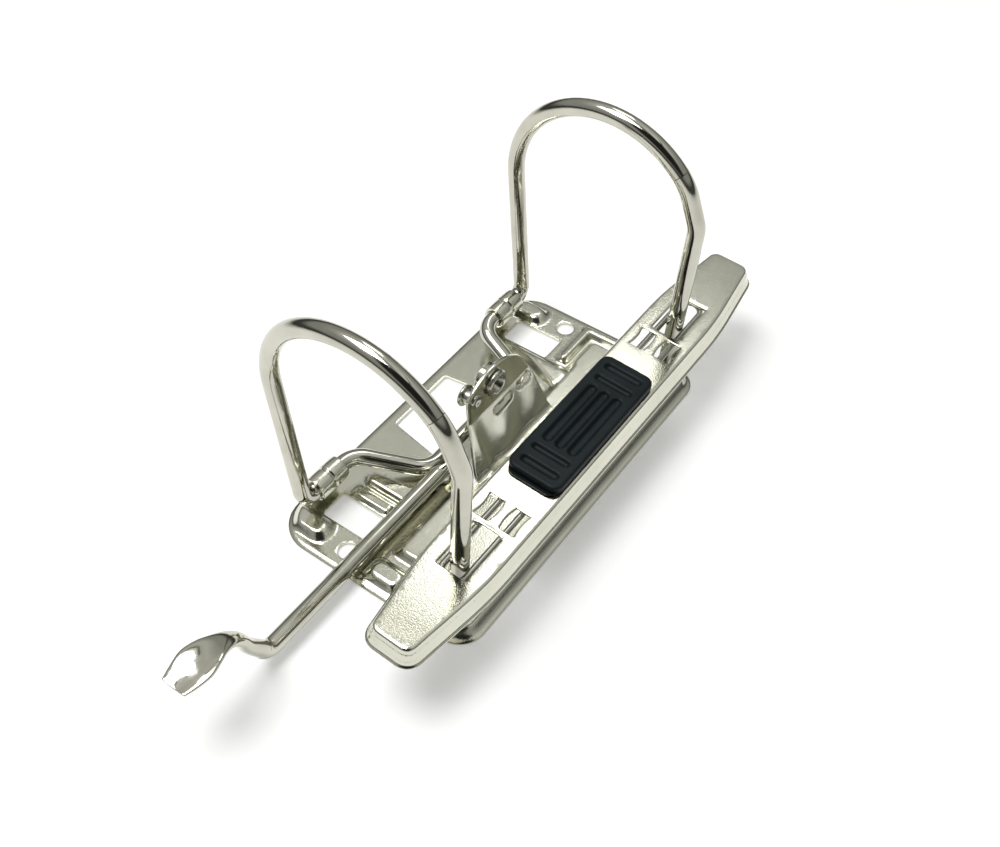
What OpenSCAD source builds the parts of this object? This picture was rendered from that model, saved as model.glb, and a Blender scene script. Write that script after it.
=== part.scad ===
// Lever arch mechanism for a ring binder: an embossed base plate with a folded riser,
// one bent arch wire, two fixed posts, a hand lever and a sliding compressor bar.
// X runs along the plate, -Y is the side of the posts, Z is up, and Z = 0 is the table.

/* [Wire] */
// Diameter of the arch wire and the posts
wire_d = 3.9; // [3.4:0.1:4.2]
// Diameter of the lever wire
lever_d = 3.8; // [3.4:0.1:4.0]
// Distance between the two rings
ring_pitch = 80; // [78:0.5:82]

/* [Base plate] */
// Length of the plate along X
plate_len = 92.7; // [91:0.5:98]
// Width of the plate along Y
plate_wid = 56.9; // [56.5:0.5:64]
// Radius of the plate's corners
plate_r = 9; // [7:0.5:10]
// Thickness of the sheet steel
sheet_t = 0.8; // [0.7:0.05:0.9]
// Height of the embossed panels over the flat sheet
emboss_h = 1.6; // [1.3:0.1:1.7]
// Run of the sloping sides of the embossed panels
emboss_slope = 1.4; // [0.9:0.1:1.6]
// Diameter of the four rivet holes
hole_d = 4.2; // [3.2:0.1:4.6]
// Spacing of the rivet holes along X
hole_pitch_x = 82.6; // [81:0.2:83]
// Spacing of the rivet holes along Y
hole_pitch_y = 21.8; // [20:0.2:24]
// Length of each window beside the hinge hoops
window_len = 7; // [5:0.5:7.5]
// Width of each window across the plate
window_wid = 12.4; // [9:0.2:12.6]

/* [Arch wire] */
// Distance of the hinge line from the plate's centre line
hinge_y = 23.3; // [23:0.1:23.8]
// Height of the hinge line over the table
hinge_z = 7.5; // [7:0.1:8.5]
// Height of the crank's middle run over the table
crank_z = 3.1; // [3:0.05:3.4]
// Length of the crank's arms
crank_arm = 14.8; // [14.6:0.1:14.9]
// Lean of the arch's legs away from the posts, in degrees
leg_lean = 2.5; // [1:0.5:4]
// Length of the straight part of each leg
leg_len = 36; // [32:1:40]
// Radius of the arch's round top
arch_r = 23.6; // [22.5:0.1:24.2]
// Angle round the arch's top at which it ends
arch_end = 137; // [130:1:142]
// Bend radius where a leg meets the hinge run
leg_bend_r = 3; // [2.6:0.1:3.4]

/* [Posts] */
// Distance of the posts' feet from the plate's edge
post_inset = 10.45; // [9.85:0.05:10.85]
// Lean of the posts' lower part, in degrees
post_lean = 4; // [3:0.25:5]
// Lean of the short run over the kink, in degrees
post_top_lean = 20; // [17:1:24]
// Bend radius of the kink
kink_r = 8; // [6:0.5:10]
// Bend radius at the posts' upper ends
post_tip_r = 14; // [11:1:16]

/* [Lever] */
// Distance of the pivot from the plate's centre along X
pivot_x = 2; // [1.5:0.25:2.5]
// Height of the pivot over the table
pivot_z = 20.3; // [19.8:0.1:20.8]
// Height of the lever wire's straight run
lever_z = 4; // [3.8:0.1:4.3]
// Reach of the lever's upward bend from the plate's centre
lever_reach = 71.3; // [62:0.1:78]
// Thickness of the lever's flattened end
arm_t = 1.6; // [1.3:0.1:1.7]
// Width of the lever's arm
arm_w = 5; // [4.4:0.1:5.4]
// Width of the thumb blade
blade_w = 8.5; // [7:0.5:11]
// Length of the thumb blade
blade_len = 11.2; // [9:0.2:15]

/* [Riser] */
// Height of the fold between the riser's slope and its lug
fold_z = 14.8; // [14:0.1:15.4]
// Distance of the lug's front face from the plate's centre line
lug_y = 3.4; // [3:0.1:3.6]
// Distance of the riser's foot from the plate's centre line
foot_y = -2.2; // [-3:0.1:-1]
// Radius of the lug's round top
lug_r = 13; // [12:0.25:13.5]

/* [Compressor bar] */
// Length of the bar's top face
bar_len = 127; // [120:1:132]
// Width of the bar's top face in its middle
bar_wid = 14.4; // [13.8:0.2:16]
// Width of the bar's top face at its ends
bar_end_wid = 9; // [8:0.2:11]
// Height of the bar's skirt
bar_h = 4.6; // [4.2:0.1:5.6]
// Thickness of the bar's sheet
bar_t = 0.7; // [0.5:0.05:0.9]
// Height of the bar's top face on the posts
bar_z = 21.3; // [18:0.5:26]
// Play of the bar to one side, along X
bar_x = 2.3; // [1.8:0.1:2.6]
// Length of the big windows for the posts
slot_len = 12.2; // [11.6:0.1:12.6]
// Width of the big windows for the posts
slot_wid = 7; // [6.6:0.1:7.4]
// Diameter of the lock spring's wire
spring_d = 1.4; // [1.1:0.1:1.6]

/* [Thumb slide] */
// Length of the slide's pad
pad_len = 36.5; // [32:0.5:40]
// Width of the slide's pad
pad_wid = 12; // [10:0.5:12.5]
// Thickness of the slide's pad
pad_t = 2.9; // [2.4:0.1:3.6]
// Travel of the slide along the bar
pad_travel = 3; // [2:0.5:4]

/* [Hidden] */
$fn = 48;
fit = 0.05;
eps = 0.01;
// Swelling that joins the straight runs and bends of a wire
swell = 0.012;
wire_r = wire_d / 2;
lever_r = lever_d / 2;
ring_x = ring_pitch / 2;
post_y = plate_wid / 2 - post_inset;

// Panels of the base plate
raised_z = sheet_t + emboss_h;
panel_edge_y = 2.5;
panel_end_x = 36.5;
block_y = -5.2;
block_x = 44.6;
rim_flat = 1.1;
window_x = 33.5;
window_y = 15.5;
window_in = window_x - window_len / 2;
groove_x = 41.2;
groove_y = 3.2;
groove_wid = 1;
boss_x = 43.8;
boss_y = 16.2;

// Hoops that hold the arch wire
hoop_t = 0.9;
hoop_r = wire_r + fit + hoop_t;
hoop_len = 8.2;
hoop_x = ring_x - leg_bend_r - 0.4 - hoop_len / 2;
hoop_gap = 0.5;

// Opening under the crank, and the riser cut from it
open_y = 25.2;
open_left = -7.6;
open_right = 11.1;
foot_left = -12.2;
foot_right = 17.2;
lug_left = -7.45;
lug_right = 15.2;
lug_back = lug_y + sheet_t;
slot_h = 1.9;

// Lever arm, roller and rivets
arm_y = lug_back + 0.1;
arm_back = arm_y + arm_t;
lever_y = arm_y + lever_r + 0.1;
arm_eye_r = 3.9;
flat_x = -12.5;
round_x = -15.5;
flat_h = 5.2;
bend_r = 3;
bend_x = bend_r - lever_reach;
grip_x = -lever_reach - 8.1;
eyelet_r = 2;
eyelet_bore = 1.25;
flange_r = 3.3;
flange_t = 0.8;
stud_x = pivot_x - 6.6;
stud_r = 1.2;
stud_head_r = 2.6;
roller_r = 2.3;
roller_bore = 1.05;
roller_len = 2.9;
roller_x = pivot_x + 0.4;
roller_gap = 2.5;
roller_z = crank_z + wire_r + roller_gap + roller_r;
pin_r = 1;
pin_seat_r = 2.1;
pin_collar_r = 1.4;
roller_y = arm_back + 1.5;

// Crank of the arch wire
crank_angle = asin((hinge_z - crank_z) / crank_arm);
crank_left = -28;
crank_right = 27.5;
turn_left = 58;
turn_right = 75;
bend_left = 6.5;
bend_right = 5;

// Ends of the arches and the posts
arch_cy = hinge_y + leg_len * sin(leg_lean) - arch_r * cos(leg_lean);
arch_cz = hinge_z + leg_len * cos(leg_lean) + arch_r * sin(leg_lean);
tip_y = arch_cy + arch_r * cos(arch_end);
tip_z = arch_cz + arch_r * sin(arch_end);
tip_lean = 180 - arch_end;
seam = 0.15;
spigot_r = 1.1;
spigot_len = 2.2;
spigot_cut = 0.5;
foot_shank_r = 1.4;
foot_head_r = 2.3;
foot_head_t = 0.9;
foot_sink = 0.5;

// Straight runs of a post, from the two bends and the two ends
bends_y = kink_r * (cos(post_lean) - cos(post_top_lean))
        + post_tip_r * (cos(post_top_lean) - cos(tip_lean));
bends_z = kink_r * (sin(post_top_lean) + sin(post_lean))
        + post_tip_r * (sin(tip_lean) - sin(post_top_lean));
rest_y = tip_y + post_y - bends_y;
rest_z = tip_z - raised_z - bends_z;
run_det = sin(post_lean) * cos(post_top_lean) + sin(post_top_lean) * cos(post_lean);
post_low = (rest_z * sin(post_top_lean) - rest_y * cos(post_top_lean)) / run_det;
post_high = (rest_z * sin(post_lean) + rest_y * cos(post_lean)) / run_det;

// Compressor bar, in the frame of the posts' lean
bar_y = -post_y - (bar_z - raised_z) * tan(post_lean);
bar_taper = 20;
bar_corner = 2;
bar_bend = 6;
bar_flare = 1.1;
rim_out = 1.7;
rim_t = 0.7;
slot_x = 39.1;
small_x0 = 25.8;
small_x1 = 31.6;
small_bow = 10;
pad_gap = 0.15;
pad_x = -1.6;
groove_t = 0.4;
foot_x = 12;
foot_len = 5;
foot_wid = 2;
hook_wid = 5.2;
hook_t = 0.9;
spring_y = wire_r + spring_d / 2 + 0.04;
spring_end = slot_x + slot_len / 2 + 1.2;
spring_z = -bar_t - spring_d / 2;
hook_z = spring_z - spring_d / 2 - 0.3;

// ---------- shared shapes ----------

// A rectangle with round corners, as one outline
module round_rect(len, wid, r) {
    square([len - 2 * r, wid], center = true);
    square([len, wid - 2 * r], center = true);
    for (sx = [-1, 1], sy = [-1, 1])
        translate([sx * (len / 2 - r), sy * (wid / 2 - r)]) circle(r);
}

// A slot with round ends along X
module slot(len, wid) {
    square([len - wid, wid], center = true);
    for (s = [-1, 1]) translate([s * (len - wid) / 2, 0]) circle(wid / 2);
}

// A block whose four sides slope inwards from bottom to top
module frustum(x0, x1, y0, y1, h, run) {
    intersection() {
        translate([0, y1, 0]) rotate([90, 0, 0]) linear_extrude(y1 - y0)
            polygon([[x0, 0], [x1, 0], [x1 - run, h], [x0 + run, h]]);
        translate([x0, 0, 0]) rotate([90, 0, 90]) linear_extrude(x1 - x0)
            polygon([[y0, 0], [y1, 0], [y1 - run, h], [y0 + run, h]]);
    }
}

// A block on a convex outline, given anticlockwise, whose sides slope inwards
module bank(outline, h, run) {
    far = 200;
    intersection_for (i = [0 : len(outline) - 1]) {
        a = outline[i];
        b = outline[(i + 1) % len(outline)];
        translate(a) rotate([0, 0, atan2(b[1] - a[1], b[0] - a[0])])
            translate([-far, 0, 0]) rotate([90, 0, 90]) linear_extrude(2 * far)
                polygon([[0, 0], [far, 0], [far, h], [run, h]]);
    }
}

// A wire that starts upwards: each leg is [length, turn, bend radius, roll]
module wire(r, legs, i = 0) {
    if (i < len(legs)) {
        run = legs[i][0];
        turn = legs[i][1];
        bend = legs[i][2];
        roll = legs[i][3];
        rotate([0, 0, roll]) {
            if (run > 0) cylinder(r = r, h = run);
            translate([0, 0, run]) sphere(r + swell);
            translate([bend, 0, run]) rotate([90, 0, 180])
                rotate_extrude(angle = turn) translate([bend, 0]) circle(r);
            translate([bend - bend * cos(turn), 0, run + bend * sin(turn)])
                rotate([0, turn, 0]) {
                    if (i < len(legs) - 1) sphere(r + swell);
                    wire(r, legs, i + 1);
                }
        }
    }
}

// Places children at the closed joint of a ring, with Z running down into the post
module at_tip(side) {
    translate([side * ring_x, tip_y, tip_z]) rotate([180 - tip_lean, 0, 0]) children();
}

// ---------- base plate ----------

// The plate's rounded outline, inset, with sloping sides
module plate_rise(h) {
    len = plate_len - 2 * rim_flat;
    wid = plate_wid - 2 * rim_flat;
    r = plate_r - rim_flat;
    slope = emboss_slope;
    translate([0, wid / 2 - r, 0]) rotate([90, 0, 0]) linear_extrude(wid - 2 * r)
        polygon([[-len / 2, 0], [len / 2, 0], [len / 2 - slope, h], [slope - len / 2, h]]);
    translate([r - len / 2, 0, 0]) rotate([90, 0, 90]) linear_extrude(len - 2 * r)
        polygon([[-wid / 2, 0], [wid / 2, 0], [wid / 2 - slope, h], [slope - wid / 2, h]]);
    for (sx = [-1, 1], sy = [-1, 1])
        translate([sx * (len / 2 - r), sy * (wid / 2 - r), 0])
            cylinder(r1 = r, r2 = r - slope, h = h);
}

module panels() {
    edge = plate_wid / 2;
    tip = plate_len / 2;
    intersection() {
        plate_rise(emboss_h);
        union() {
            frustum(-panel_end_x, panel_end_x, -edge, panel_edge_y, emboss_h, emboss_slope);
            for (s = [0, 1]) mirror([s, 0, 0]) {
                frustum(panel_end_x - 4, tip, -edge, -14.4, emboss_h, emboss_slope);
                frustum(window_x + window_len / 2 + 0.4, boss_x, boss_y, edge,
                        emboss_h, emboss_slope);
            }
            // Left end: the block, the low ledge and the short rib beside the window
            frustum(-block_x, -38.4, block_y, 4.4, emboss_h, emboss_slope);
            bank([[-25.5, 7.4], [-19.9, 7.4], [-22, 20.2], [-25.5, 20.2]],
                 emboss_h, emboss_slope / 2);
            frustum(-window_in + 0.4, -26.2, 9.6, 20.6, emboss_h / 2, emboss_slope / 2);
            // Right end: the panel reaches up beside the opening, then a groove and a strip
            frustum(panel_end_x - 6, groove_x - groove_wid / 2, block_y - 1, panel_edge_y,
                    emboss_h, emboss_slope / 2);
            bank([[20.9, 0], [window_in - 0.6, 0], [window_in - 0.6, 20.7]],
                 emboss_h, emboss_slope);
            frustum(groove_x + groove_wid / 2, block_x, block_y, 6.6,
                    emboss_h, emboss_slope / 2);
            frustum(window_in + 0.6, block_x, groove_y + groove_wid / 2, 6.6,
                    emboss_h, emboss_slope / 2);
        }
    }
}

module opening_outline() {
    polygon([[open_left, open_y], [open_right, open_y], [12.2, 17], [15.4, 12.6],
             [foot_right, foot_y + 1], [foot_left, foot_y + 1]]);
}

module hoop() {
    band = (hoop_len - hoop_gap) / 2;
    for (s = [-1, 1])
        translate([s * (band + hoop_gap) / 2, 0, 0]) rotate([0, 90, 0])
            cylinder(r = hoop_r, h = band, center = true);
    rotate([0, 90, 0]) cylinder(r = hoop_r - 0.3, h = hoop_len, center = true);
    translate([-hoop_len / 2, hoop_r - hoop_t, sheet_t - hinge_z])
        cube([hoop_len, hoop_t, hinge_z - sheet_t]);
}

// The riser's side view: a slope up to the fold, then the upright lug
module riser_profile() {
    polygon([[foot_y, 0], [foot_y + sheet_t * 1.1, 0], [lug_back, fold_z - 0.4],
             [lug_back, fold_z + lug_r], [lug_y, fold_z + lug_r], [lug_y, fold_z]]);
}

// The riser's front view
module riser_outline() {
    polygon([[foot_left, 0], [foot_right, 0], [lug_right, fold_z], [lug_left, fold_z]]);
    intersection() {
        polygon([[lug_left, fold_z], [lug_right, fold_z], [open_right + 0.6, fold_z + 7],
                 [open_right, fold_z + lug_r], [lug_left, fold_z + lug_r]]);
        translate([pivot_x - 0.5, pivot_z - 8]) circle(lug_r);
    }
}

module riser() {
    difference() {
        intersection() {
            translate([foot_left - 1, 0, 0]) rotate([90, 0, 90])
                linear_extrude(foot_right - foot_left + 2) riser_profile();
            translate([0, lug_back + 1, 0]) rotate([90, 0, 0])
                linear_extrude(lug_back - foot_y + 2) riser_outline();
        }
        translate([pivot_x, lug_back + 1, pivot_z]) rotate([90, 0, 0])
            cylinder(r = eyelet_r + 0.02, h = sheet_t + 2);
        translate([stud_x, lug_back + 1, pivot_z - 0.3]) rotate([90, 0, 0])
            cylinder(r = stud_r + 0.02, h = sheet_t + 2);
        for (c = [[4.2, 6.4], [12, 4.6]])
            translate([c[0], lug_back + 1, fold_z - 2]) rotate([90, 0, 0])
                linear_extrude(sheet_t + 3) slot(c[1], slot_h);
    }
}

module embossed_sheet() {
    difference() {
        union() {
            linear_extrude(sheet_t) round_rect(plate_len, plate_wid, plate_r);
            translate([0, 0, sheet_t - eps]) panels();
        }
        translate([0, 0, -eps]) panels();
        translate([0, 0, -1]) linear_extrude(raised_z + 2) opening_outline();
    }
}

module base_plate() color([0.78, 0.77, 0.71]) {
    difference() {
        union() {
            embossed_sheet();
            riser();
            for (s = [-1, 1]) translate([s * hoop_x, hinge_y, hinge_z]) hoop();
        }
        for (s = [-1, 1]) {
            translate([s * window_x, window_y, -1]) linear_extrude(raised_z + 2)
                square([window_len, window_wid], center = true);
            translate([s * hoop_x, hinge_y, hinge_z]) rotate([0, 90, 0])
                cylinder(r = wire_r + fit, h = hoop_len + 2, center = true);
            translate([s * ring_x, -post_y, -1])
                cylinder(r = foot_shank_r + 0.02, h = raised_z + 2);
            for (t = [-1, 1])
                translate([s * hole_pitch_x / 2, t * hole_pitch_y / 2, -1])
                    cylinder(d = hole_d, h = sheet_t + 2);
        }
    }
}

// ---------- arch wire ----------

// The slanting run of the crank's arm, and how far an arm reaches along X
function arm_run(turn, bend) = (crank_arm - 2 * bend * (1 - cos(turn))) / sin(turn);
function arm_reach(turn, bend) = 2 * bend * sin(turn) + arm_run(turn, bend) * cos(turn);

// One side of the wire, from the crank's middle run to the arch's tip
function side_legs(side, middle, hinge_run, turn, bend) =
    [[middle, turn, bend, 0],
     [arm_run(turn, bend), turn, bend, 180],
     [hinge_run, 90, leg_bend_r, side * (270 - leg_lean - crank_angle)],
     [leg_len - leg_bend_r, arch_end + leg_lean, arch_r, side * 90]];

module arch_wire() color([0.66, 0.66, 0.61]) {
    end_left = crank_left + arm_reach(turn_left, bend_left);
    end_right = crank_right - arm_reach(turn_right, bend_right);
    straight = ring_x - leg_bend_r;
    translate([0, hinge_y, hinge_z]) rotate([crank_angle - 180, 0, 0])
        translate([end_left, crank_arm, 0]) {
            rotate([0, 90, 0]) rotate([0, 0, -90]) wire(wire_r,
                side_legs(1, end_right - end_left, straight - crank_right,
                          turn_right, bend_right));
            rotate([0, -90, 0]) rotate([0, 0, -90]) wire(wire_r,
                side_legs(-1, 0, straight + crank_left, turn_left, bend_left));
        }
    for (s = [-1, 1]) at_tip(s) {
        translate([0, 0, -eps]) cylinder(r = spigot_r, h = spigot_len - spigot_cut);
        translate([0, 0, spigot_len - spigot_cut - eps])
            cylinder(r1 = spigot_r, r2 = spigot_r - spigot_cut, h = spigot_cut);
    }
}

// ---------- lever ----------

// Stations of the thumb blade: [along X, height, width, thickness, rise of the path]
function blade_path() =
    [[bend_x + 1, lever_z, lever_d - 0.2, lever_d - 0.2, 0],
     [bend_x + 0.1, lever_z, lever_d + 0.06, lever_d + 0.06, 0],
     for (a = [22, 44, 62, 76])
         [bend_x - bend_r * sin(a), lever_z + bend_r * (1 - cos(a)), lever_d, lever_d, a],
     [grip_x + 5.6, lever_z + 7.2, lever_d + 0.3, 3.3, 73],
     [grip_x + 4.2, lever_z + 11.2, lever_d + 0.3, 2.8, 66],
     [grip_x + 2.3, lever_z + 13.8, lever_d + 0.5, 2.3, 46],
     [grip_x, lever_z + 15.2, 5.3, 1.9, 24],
     [grip_x - blade_len * 0.24, lever_z + 15.8, blade_w - 1.2, 1.6, 8],
     [grip_x - blade_len * 0.48, lever_z + 15.8, blade_w, 1.4, -4],
     [grip_x - blade_len * 0.74, lever_z + 15.5, blade_w - 1, 1.3, -4],
     [grip_x - blade_len, lever_z + 15.4, blade_w - 2.7, 1.1, 2]];

// Stations of the flattened end, from the round wire to the flat shank
function shank_path() =
    [[round_x - 1, lever_y, lever_d - 0.2, lever_d - 0.2],
     [round_x - 0.1, lever_y, lever_d + 0.06, lever_d + 0.06],
     [round_x + 0.4, lever_y - 0.1, lever_d - 0.4, lever_d + 0.2],
     [round_x + 1.6, (lever_y + arm_y + arm_t / 2) / 2, (lever_d + arm_t) / 2, 4.6],
     [flat_x - 0.4, arm_y + arm_t / 2 + 0.1, arm_t + 0.3, flat_h - 0.1],
     [flat_x, arm_y + arm_t / 2, arm_t - 0.2, flat_h - 0.3]];

sides = 20;
function loop_faces(rings) =
    concat([[for (k = [0 : sides - 1]) k]],
           [for (i = [0 : rings - 2], k = [0 : sides - 1])
               [i * sides + k, (i + 1) * sides + k, (i + 1) * sides + (k + 1) % sides,
                i * sides + (k + 1) % sides]],
           [[for (k = [sides - 1 : -1 : 0]) (rings - 1) * sides + k]]);

module blade() {
    path = blade_path();
    polyhedron(
        [for (p = path, k = [0 : sides - 1])
            let (a = 360 * k / sides, v = cos(a) * p[3] / 2, u = sin(a) * p[2] / 2)
                [p[0] + v * sin(p[4]), lever_y + u, p[1] + v * cos(p[4])]],
        loop_faces(len(path)));
}

module shank_taper() {
    path = shank_path();
    polyhedron(
        [for (p = path, k = [0 : sides - 1])
            let (a = 360 * k / sides)
                [p[0], p[1] + cos(a) * p[2] / 2, lever_z + sin(a) * p[3] / 2]],
        loop_faces(len(path)));
}

// The lever's flattened arm, as a curved bar from the shank up to the pivot
module arm_outline() {
    low_r = 6.4;
    low_x = pivot_x + 0.6;
    mid_z = lever_z - flat_h / 2 + low_r + arm_w / 2 - 0.1;
    join_z = lever_z + 8.6;
    translate([flat_x - 0.5, lever_z - flat_h / 2]) square([low_x - flat_x + 0.5, flat_h]);
    translate([low_x, mid_z]) intersection() {
        difference() {
            circle(low_r + arm_w / 2);
            circle(low_r - arm_w / 2);
        }
        translate([0, join_z - mid_z - 20]) square(20);
    }
    translate([pivot_x, pivot_z]) circle(arm_eye_r);
    translate([roller_x, roller_z]) circle(pin_seat_r);
    translate([roller_x - pin_seat_r, lever_z]) square([low_r, roller_z - lever_z]);
    polygon([[pivot_x + 2.2, pivot_z + 3.2], [pivot_x - 1.1, pivot_z - 3.7],
             [low_x + low_r - arm_w / 2 - 0.9, join_z - 0.1],
             [low_x + low_r + arm_w / 2 - 0.35, join_z - 0.1]]);
}

module lever() color([0.7, 0.7, 0.64]) {
    translate([bend_x, lever_y, lever_z]) rotate([0, 90, 0])
        cylinder(r = lever_r, h = round_x - bend_x);
    blade();
    shank_taper();
    difference() {
        translate([0, arm_back, 0]) rotate([90, 0, 0]) linear_extrude(arm_t) arm_outline();
        translate([pivot_x, arm_back + 1, pivot_z]) rotate([90, 0, 0])
            cylinder(r = eyelet_r + fit, h = arm_t + 2);
        translate([roller_x, arm_back + 1, roller_z]) rotate([90, 0, 0])
            cylinder(r = pin_r, h = arm_t + 2);
    }
}

// ---------- rivets and roller ----------

// A turned piece along +Y from a start plane: each step is [radius, length]
module turned(x, y, z, steps, i = 0) {
    if (i < len(steps)) {
        translate([x, y, z]) rotate([-90, 0, 0]) cylinder(r = steps[i][0], h = steps[i][1]);
        turned(x, y + steps[i][1], z, steps, i + 1);
    }
}

module pivot_eyelet() color([0.62, 0.62, 0.57]) {
    difference() {
        turned(pivot_x, lug_y - flange_t, pivot_z,
               [[flange_r - 0.5, flange_t / 2], [flange_r, flange_t / 2],
                [eyelet_r, arm_back - lug_y + 0.1], [flange_r, flange_t / 2],
                [flange_r - 0.5, flange_t / 2]]);
        translate([pivot_x, lug_y - 2, pivot_z]) rotate([-90, 0, 0])
            cylinder(r = eyelet_bore, h = arm_back - lug_y + 6);
    }
}

module stop_stud() color([0.7, 0.7, 0.65]) {
    turned(stud_x, lug_y - 0.5, pivot_z - 0.3,
           [[1.5, 0.25], [1.8, 0.25], [stud_r, sheet_t], [1.7, arm_t + 0.3],
            [stud_head_r, 0.7], [stud_head_r - 0.5, 0.3]]);
}

module roller() color([0.6, 0.6, 0.56]) {
    difference() {
        turned(roller_x, roller_y, roller_z,
               [[roller_r - 0.2, 0.3], [roller_r, roller_len - 0.6], [roller_r - 0.2, 0.3]]);
        translate([roller_x, roller_y - 1, roller_z]) rotate([-90, 0, 0])
            cylinder(r = roller_bore, h = roller_len + 2);
    }
}

module roller_pin() color([0.66, 0.66, 0.6]) {
    turned(roller_x, arm_y, roller_z,
           [[pin_r, arm_t], [pin_collar_r, roller_y - arm_back - 0.1],
            [pin_r, roller_len + 0.2], [1.7, 0.5]]);
}

// ---------- posts ----------

module post(side) {
    difference() {
        translate([side * ring_x, -post_y, raised_z]) rotate([post_lean, 0, 0])
            translate([0, 0, -foot_sink]) rotate([0, 0, 90]) wire(wire_r,
                [[post_low + foot_sink, post_lean + post_top_lean, kink_r, 0],
                 [post_high, tip_lean - post_top_lean, post_tip_r, 0]]);
        translate([side * ring_x, -post_y, 0]) cube([9, 9, 2 * raised_z], center = true);
        at_tip(side) {
            translate([0, 0, -1]) cylinder(r = spigot_r + 0.25, h = spigot_len + 1.3);
            translate([0, 0, seam - 4]) cylinder(r = 3, h = 4);
        }
    }
    translate([side * ring_x, -post_y, 0]) {
        translate([0, 0, emboss_h - foot_head_t - 2 * eps])
            cylinder(r = foot_head_r, h = foot_head_t);
        translate([0, 0, emboss_h - 3 * eps]) cylinder(r = foot_shank_r, h = sheet_t + 0.3);
    }
}

module post_left() color([0.68, 0.68, 0.62]) post(-1);
module post_right() color([0.68, 0.68, 0.62]) post(1);

// ---------- compressor bar ----------

// Places children in the bar's frame: Z runs along the posts, 0 is the top face
module on_posts() {
    translate([bar_x, bar_y, bar_z]) rotate([post_lean, 0, 0]) children();
}

// Points of a curve from a to c that is drawn towards b
function curve(a, b, c) =
    [for (t = [0 : 0.25 : 1]) a * (1 - t) * (1 - t) + b * 2 * t * (1 - t) + c * t * t];

// The bar's outline, grown by g on all sides
module bar_outline(g) {
    half = bar_len / 2 + g;
    mid = bar_wid / 2 + g;
    tip = bar_end_wid / 2 + g;
    corner = [half, tip];
    shoulder = [half - bar_taper, mid];
    slant = (shoulder - corner) / norm(shoulder - corner);
    quarter = concat(curve(corner - [0, bar_corner], corner, corner + slant * bar_corner),
                     curve(shoulder - slant * bar_bend, shoulder, shoulder - [bar_bend, 0]));
    last = len(quarter) - 1;
    polygon([for (p = quarter) p, for (i = [last : -1 : 0]) [-quarter[i][0], quarter[i][1]],
             for (p = quarter) -p, for (i = [last : -1 : 0]) [quarter[i][0], -quarter[i][1]]]);
}

module bar_solid(g, top, bottom) {
    hull() {
        translate([0, 0, top - 0.01]) linear_extrude(0.01) bar_outline(g);
        translate([0, 0, top - 0.6]) linear_extrude(0.01) bar_outline(g + 0.3);
        translate([0, 0, bottom]) linear_extrude(0.01) bar_outline(g + bar_flare);
    }
}

// A small window, whose two long sides bow towards the bar's middle line
module small_window() {
    mid = (small_x0 + small_x1) / 2;
    difference() {
        intersection() {
            translate([small_x0, 0.6]) square([small_x1 - small_x0, 4.3]);
            translate([mid, 0.7 + small_bow]) circle(small_bow);
        }
        translate([mid, 4.2 + small_bow]) circle(small_bow);
    }
}

module big_window() {
    intersection() {
        translate([slot_x - slot_len / 2, -slot_wid / 2]) square([slot_len, slot_wid]);
        translate([slot_x + 2.4, 0]) circle(8.8);
    }
    translate([slot_x, -slot_wid / 2]) square([slot_len / 2, slot_wid]);
}

module compressor_bar() color([0.8, 0.79, 0.74]) on_posts() {
    difference() {
        union() {
            bar_solid(0, 0, -bar_h);
            translate([0, 0, -bar_h]) linear_extrude(rim_t) bar_outline(rim_out);
        }
        bar_solid(-bar_t, -bar_t, -bar_h - 0.1);
        translate([0, 0, -bar_t - 1]) linear_extrude(bar_t + 2) {
            for (s = [0, 1]) mirror([s, 0]) {
                big_window();
                for (t = [0, 1]) mirror([0, t]) small_window();
            }
            for (s = [-1, 1])
                translate([pad_x + s * foot_x + pad_travel / 2, 0])
                    slot(foot_len + pad_travel + 0.6, hook_wid + 0.4);
        }
    }
}

module lock_spring() color([0.55, 0.55, 0.5]) on_posts() {
    run = spring_end - spring_y;
    for (t = [-1, 1])
        translate([-run, t * spring_y, spring_z]) rotate([0, 90, 0])
            cylinder(d = spring_d, h = 2 * run);
    for (s = [0, 1]) mirror([s, 0, 0])
        translate([run, 0, spring_z]) rotate([0, 0, -90])
            rotate_extrude(angle = 180) translate([spring_y, 0]) circle(d = spring_d);
}

// The slide's feet reach down between the spring's wires and hook under them
module thumb_slide() color([0.12, 0.16, 0.18]) on_posts() translate([pad_x, 0, 0]) {
    difference() {
        translate([0, 0, pad_gap]) {
            linear_extrude(pad_t - 0.5) round_rect(pad_len, pad_wid, 2.2);
            translate([0, 0, pad_t - 0.5]) linear_extrude(0.5)
                round_rect(pad_len - 0.8, pad_wid - 0.8, 1.9);
        }
        translate([0, 0, pad_gap + pad_t - groove_t]) linear_extrude(1) {
            for (t = [-1, 0, 1]) translate([0, t * 2.7]) slot(17.6, 1.9);
            for (s = [-1, 1], k = [11.4, 15])
                translate([s * k, 0]) rotate(90) slot(8.6, 1.8);
        }
    }
    for (s = [-1, 1]) translate([s * foot_x, 0, 0]) {
        translate([-foot_len / 2, -foot_wid / 2, hook_z - eps])
            cube([foot_len, foot_wid, pad_gap + 1 - hook_z]);
        translate([0, 0, hook_z - hook_t]) linear_extrude(hook_t) round_rect(foot_len, hook_wid, 0.8);
    }
}

base_plate();
arch_wire();
lever();
pivot_eyelet();
stop_stud();
roller();
roller_pin();
post_left();
post_right();
compressor_bar();
lock_spring();
thumb_slide();
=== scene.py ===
"""Looks of the lever arch mechanism: finishes, swept wires and rounded sheet pieces.

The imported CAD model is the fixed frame. The scene is in metres. The sizes below are in
millimetres and repeat the named values of the part's source, but for the plate's edge on
the post side, the pad, the small windows and the rivets' rims, which follow the photo.
"""

import math
from math import cos, hypot, pi, radians, sin

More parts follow.
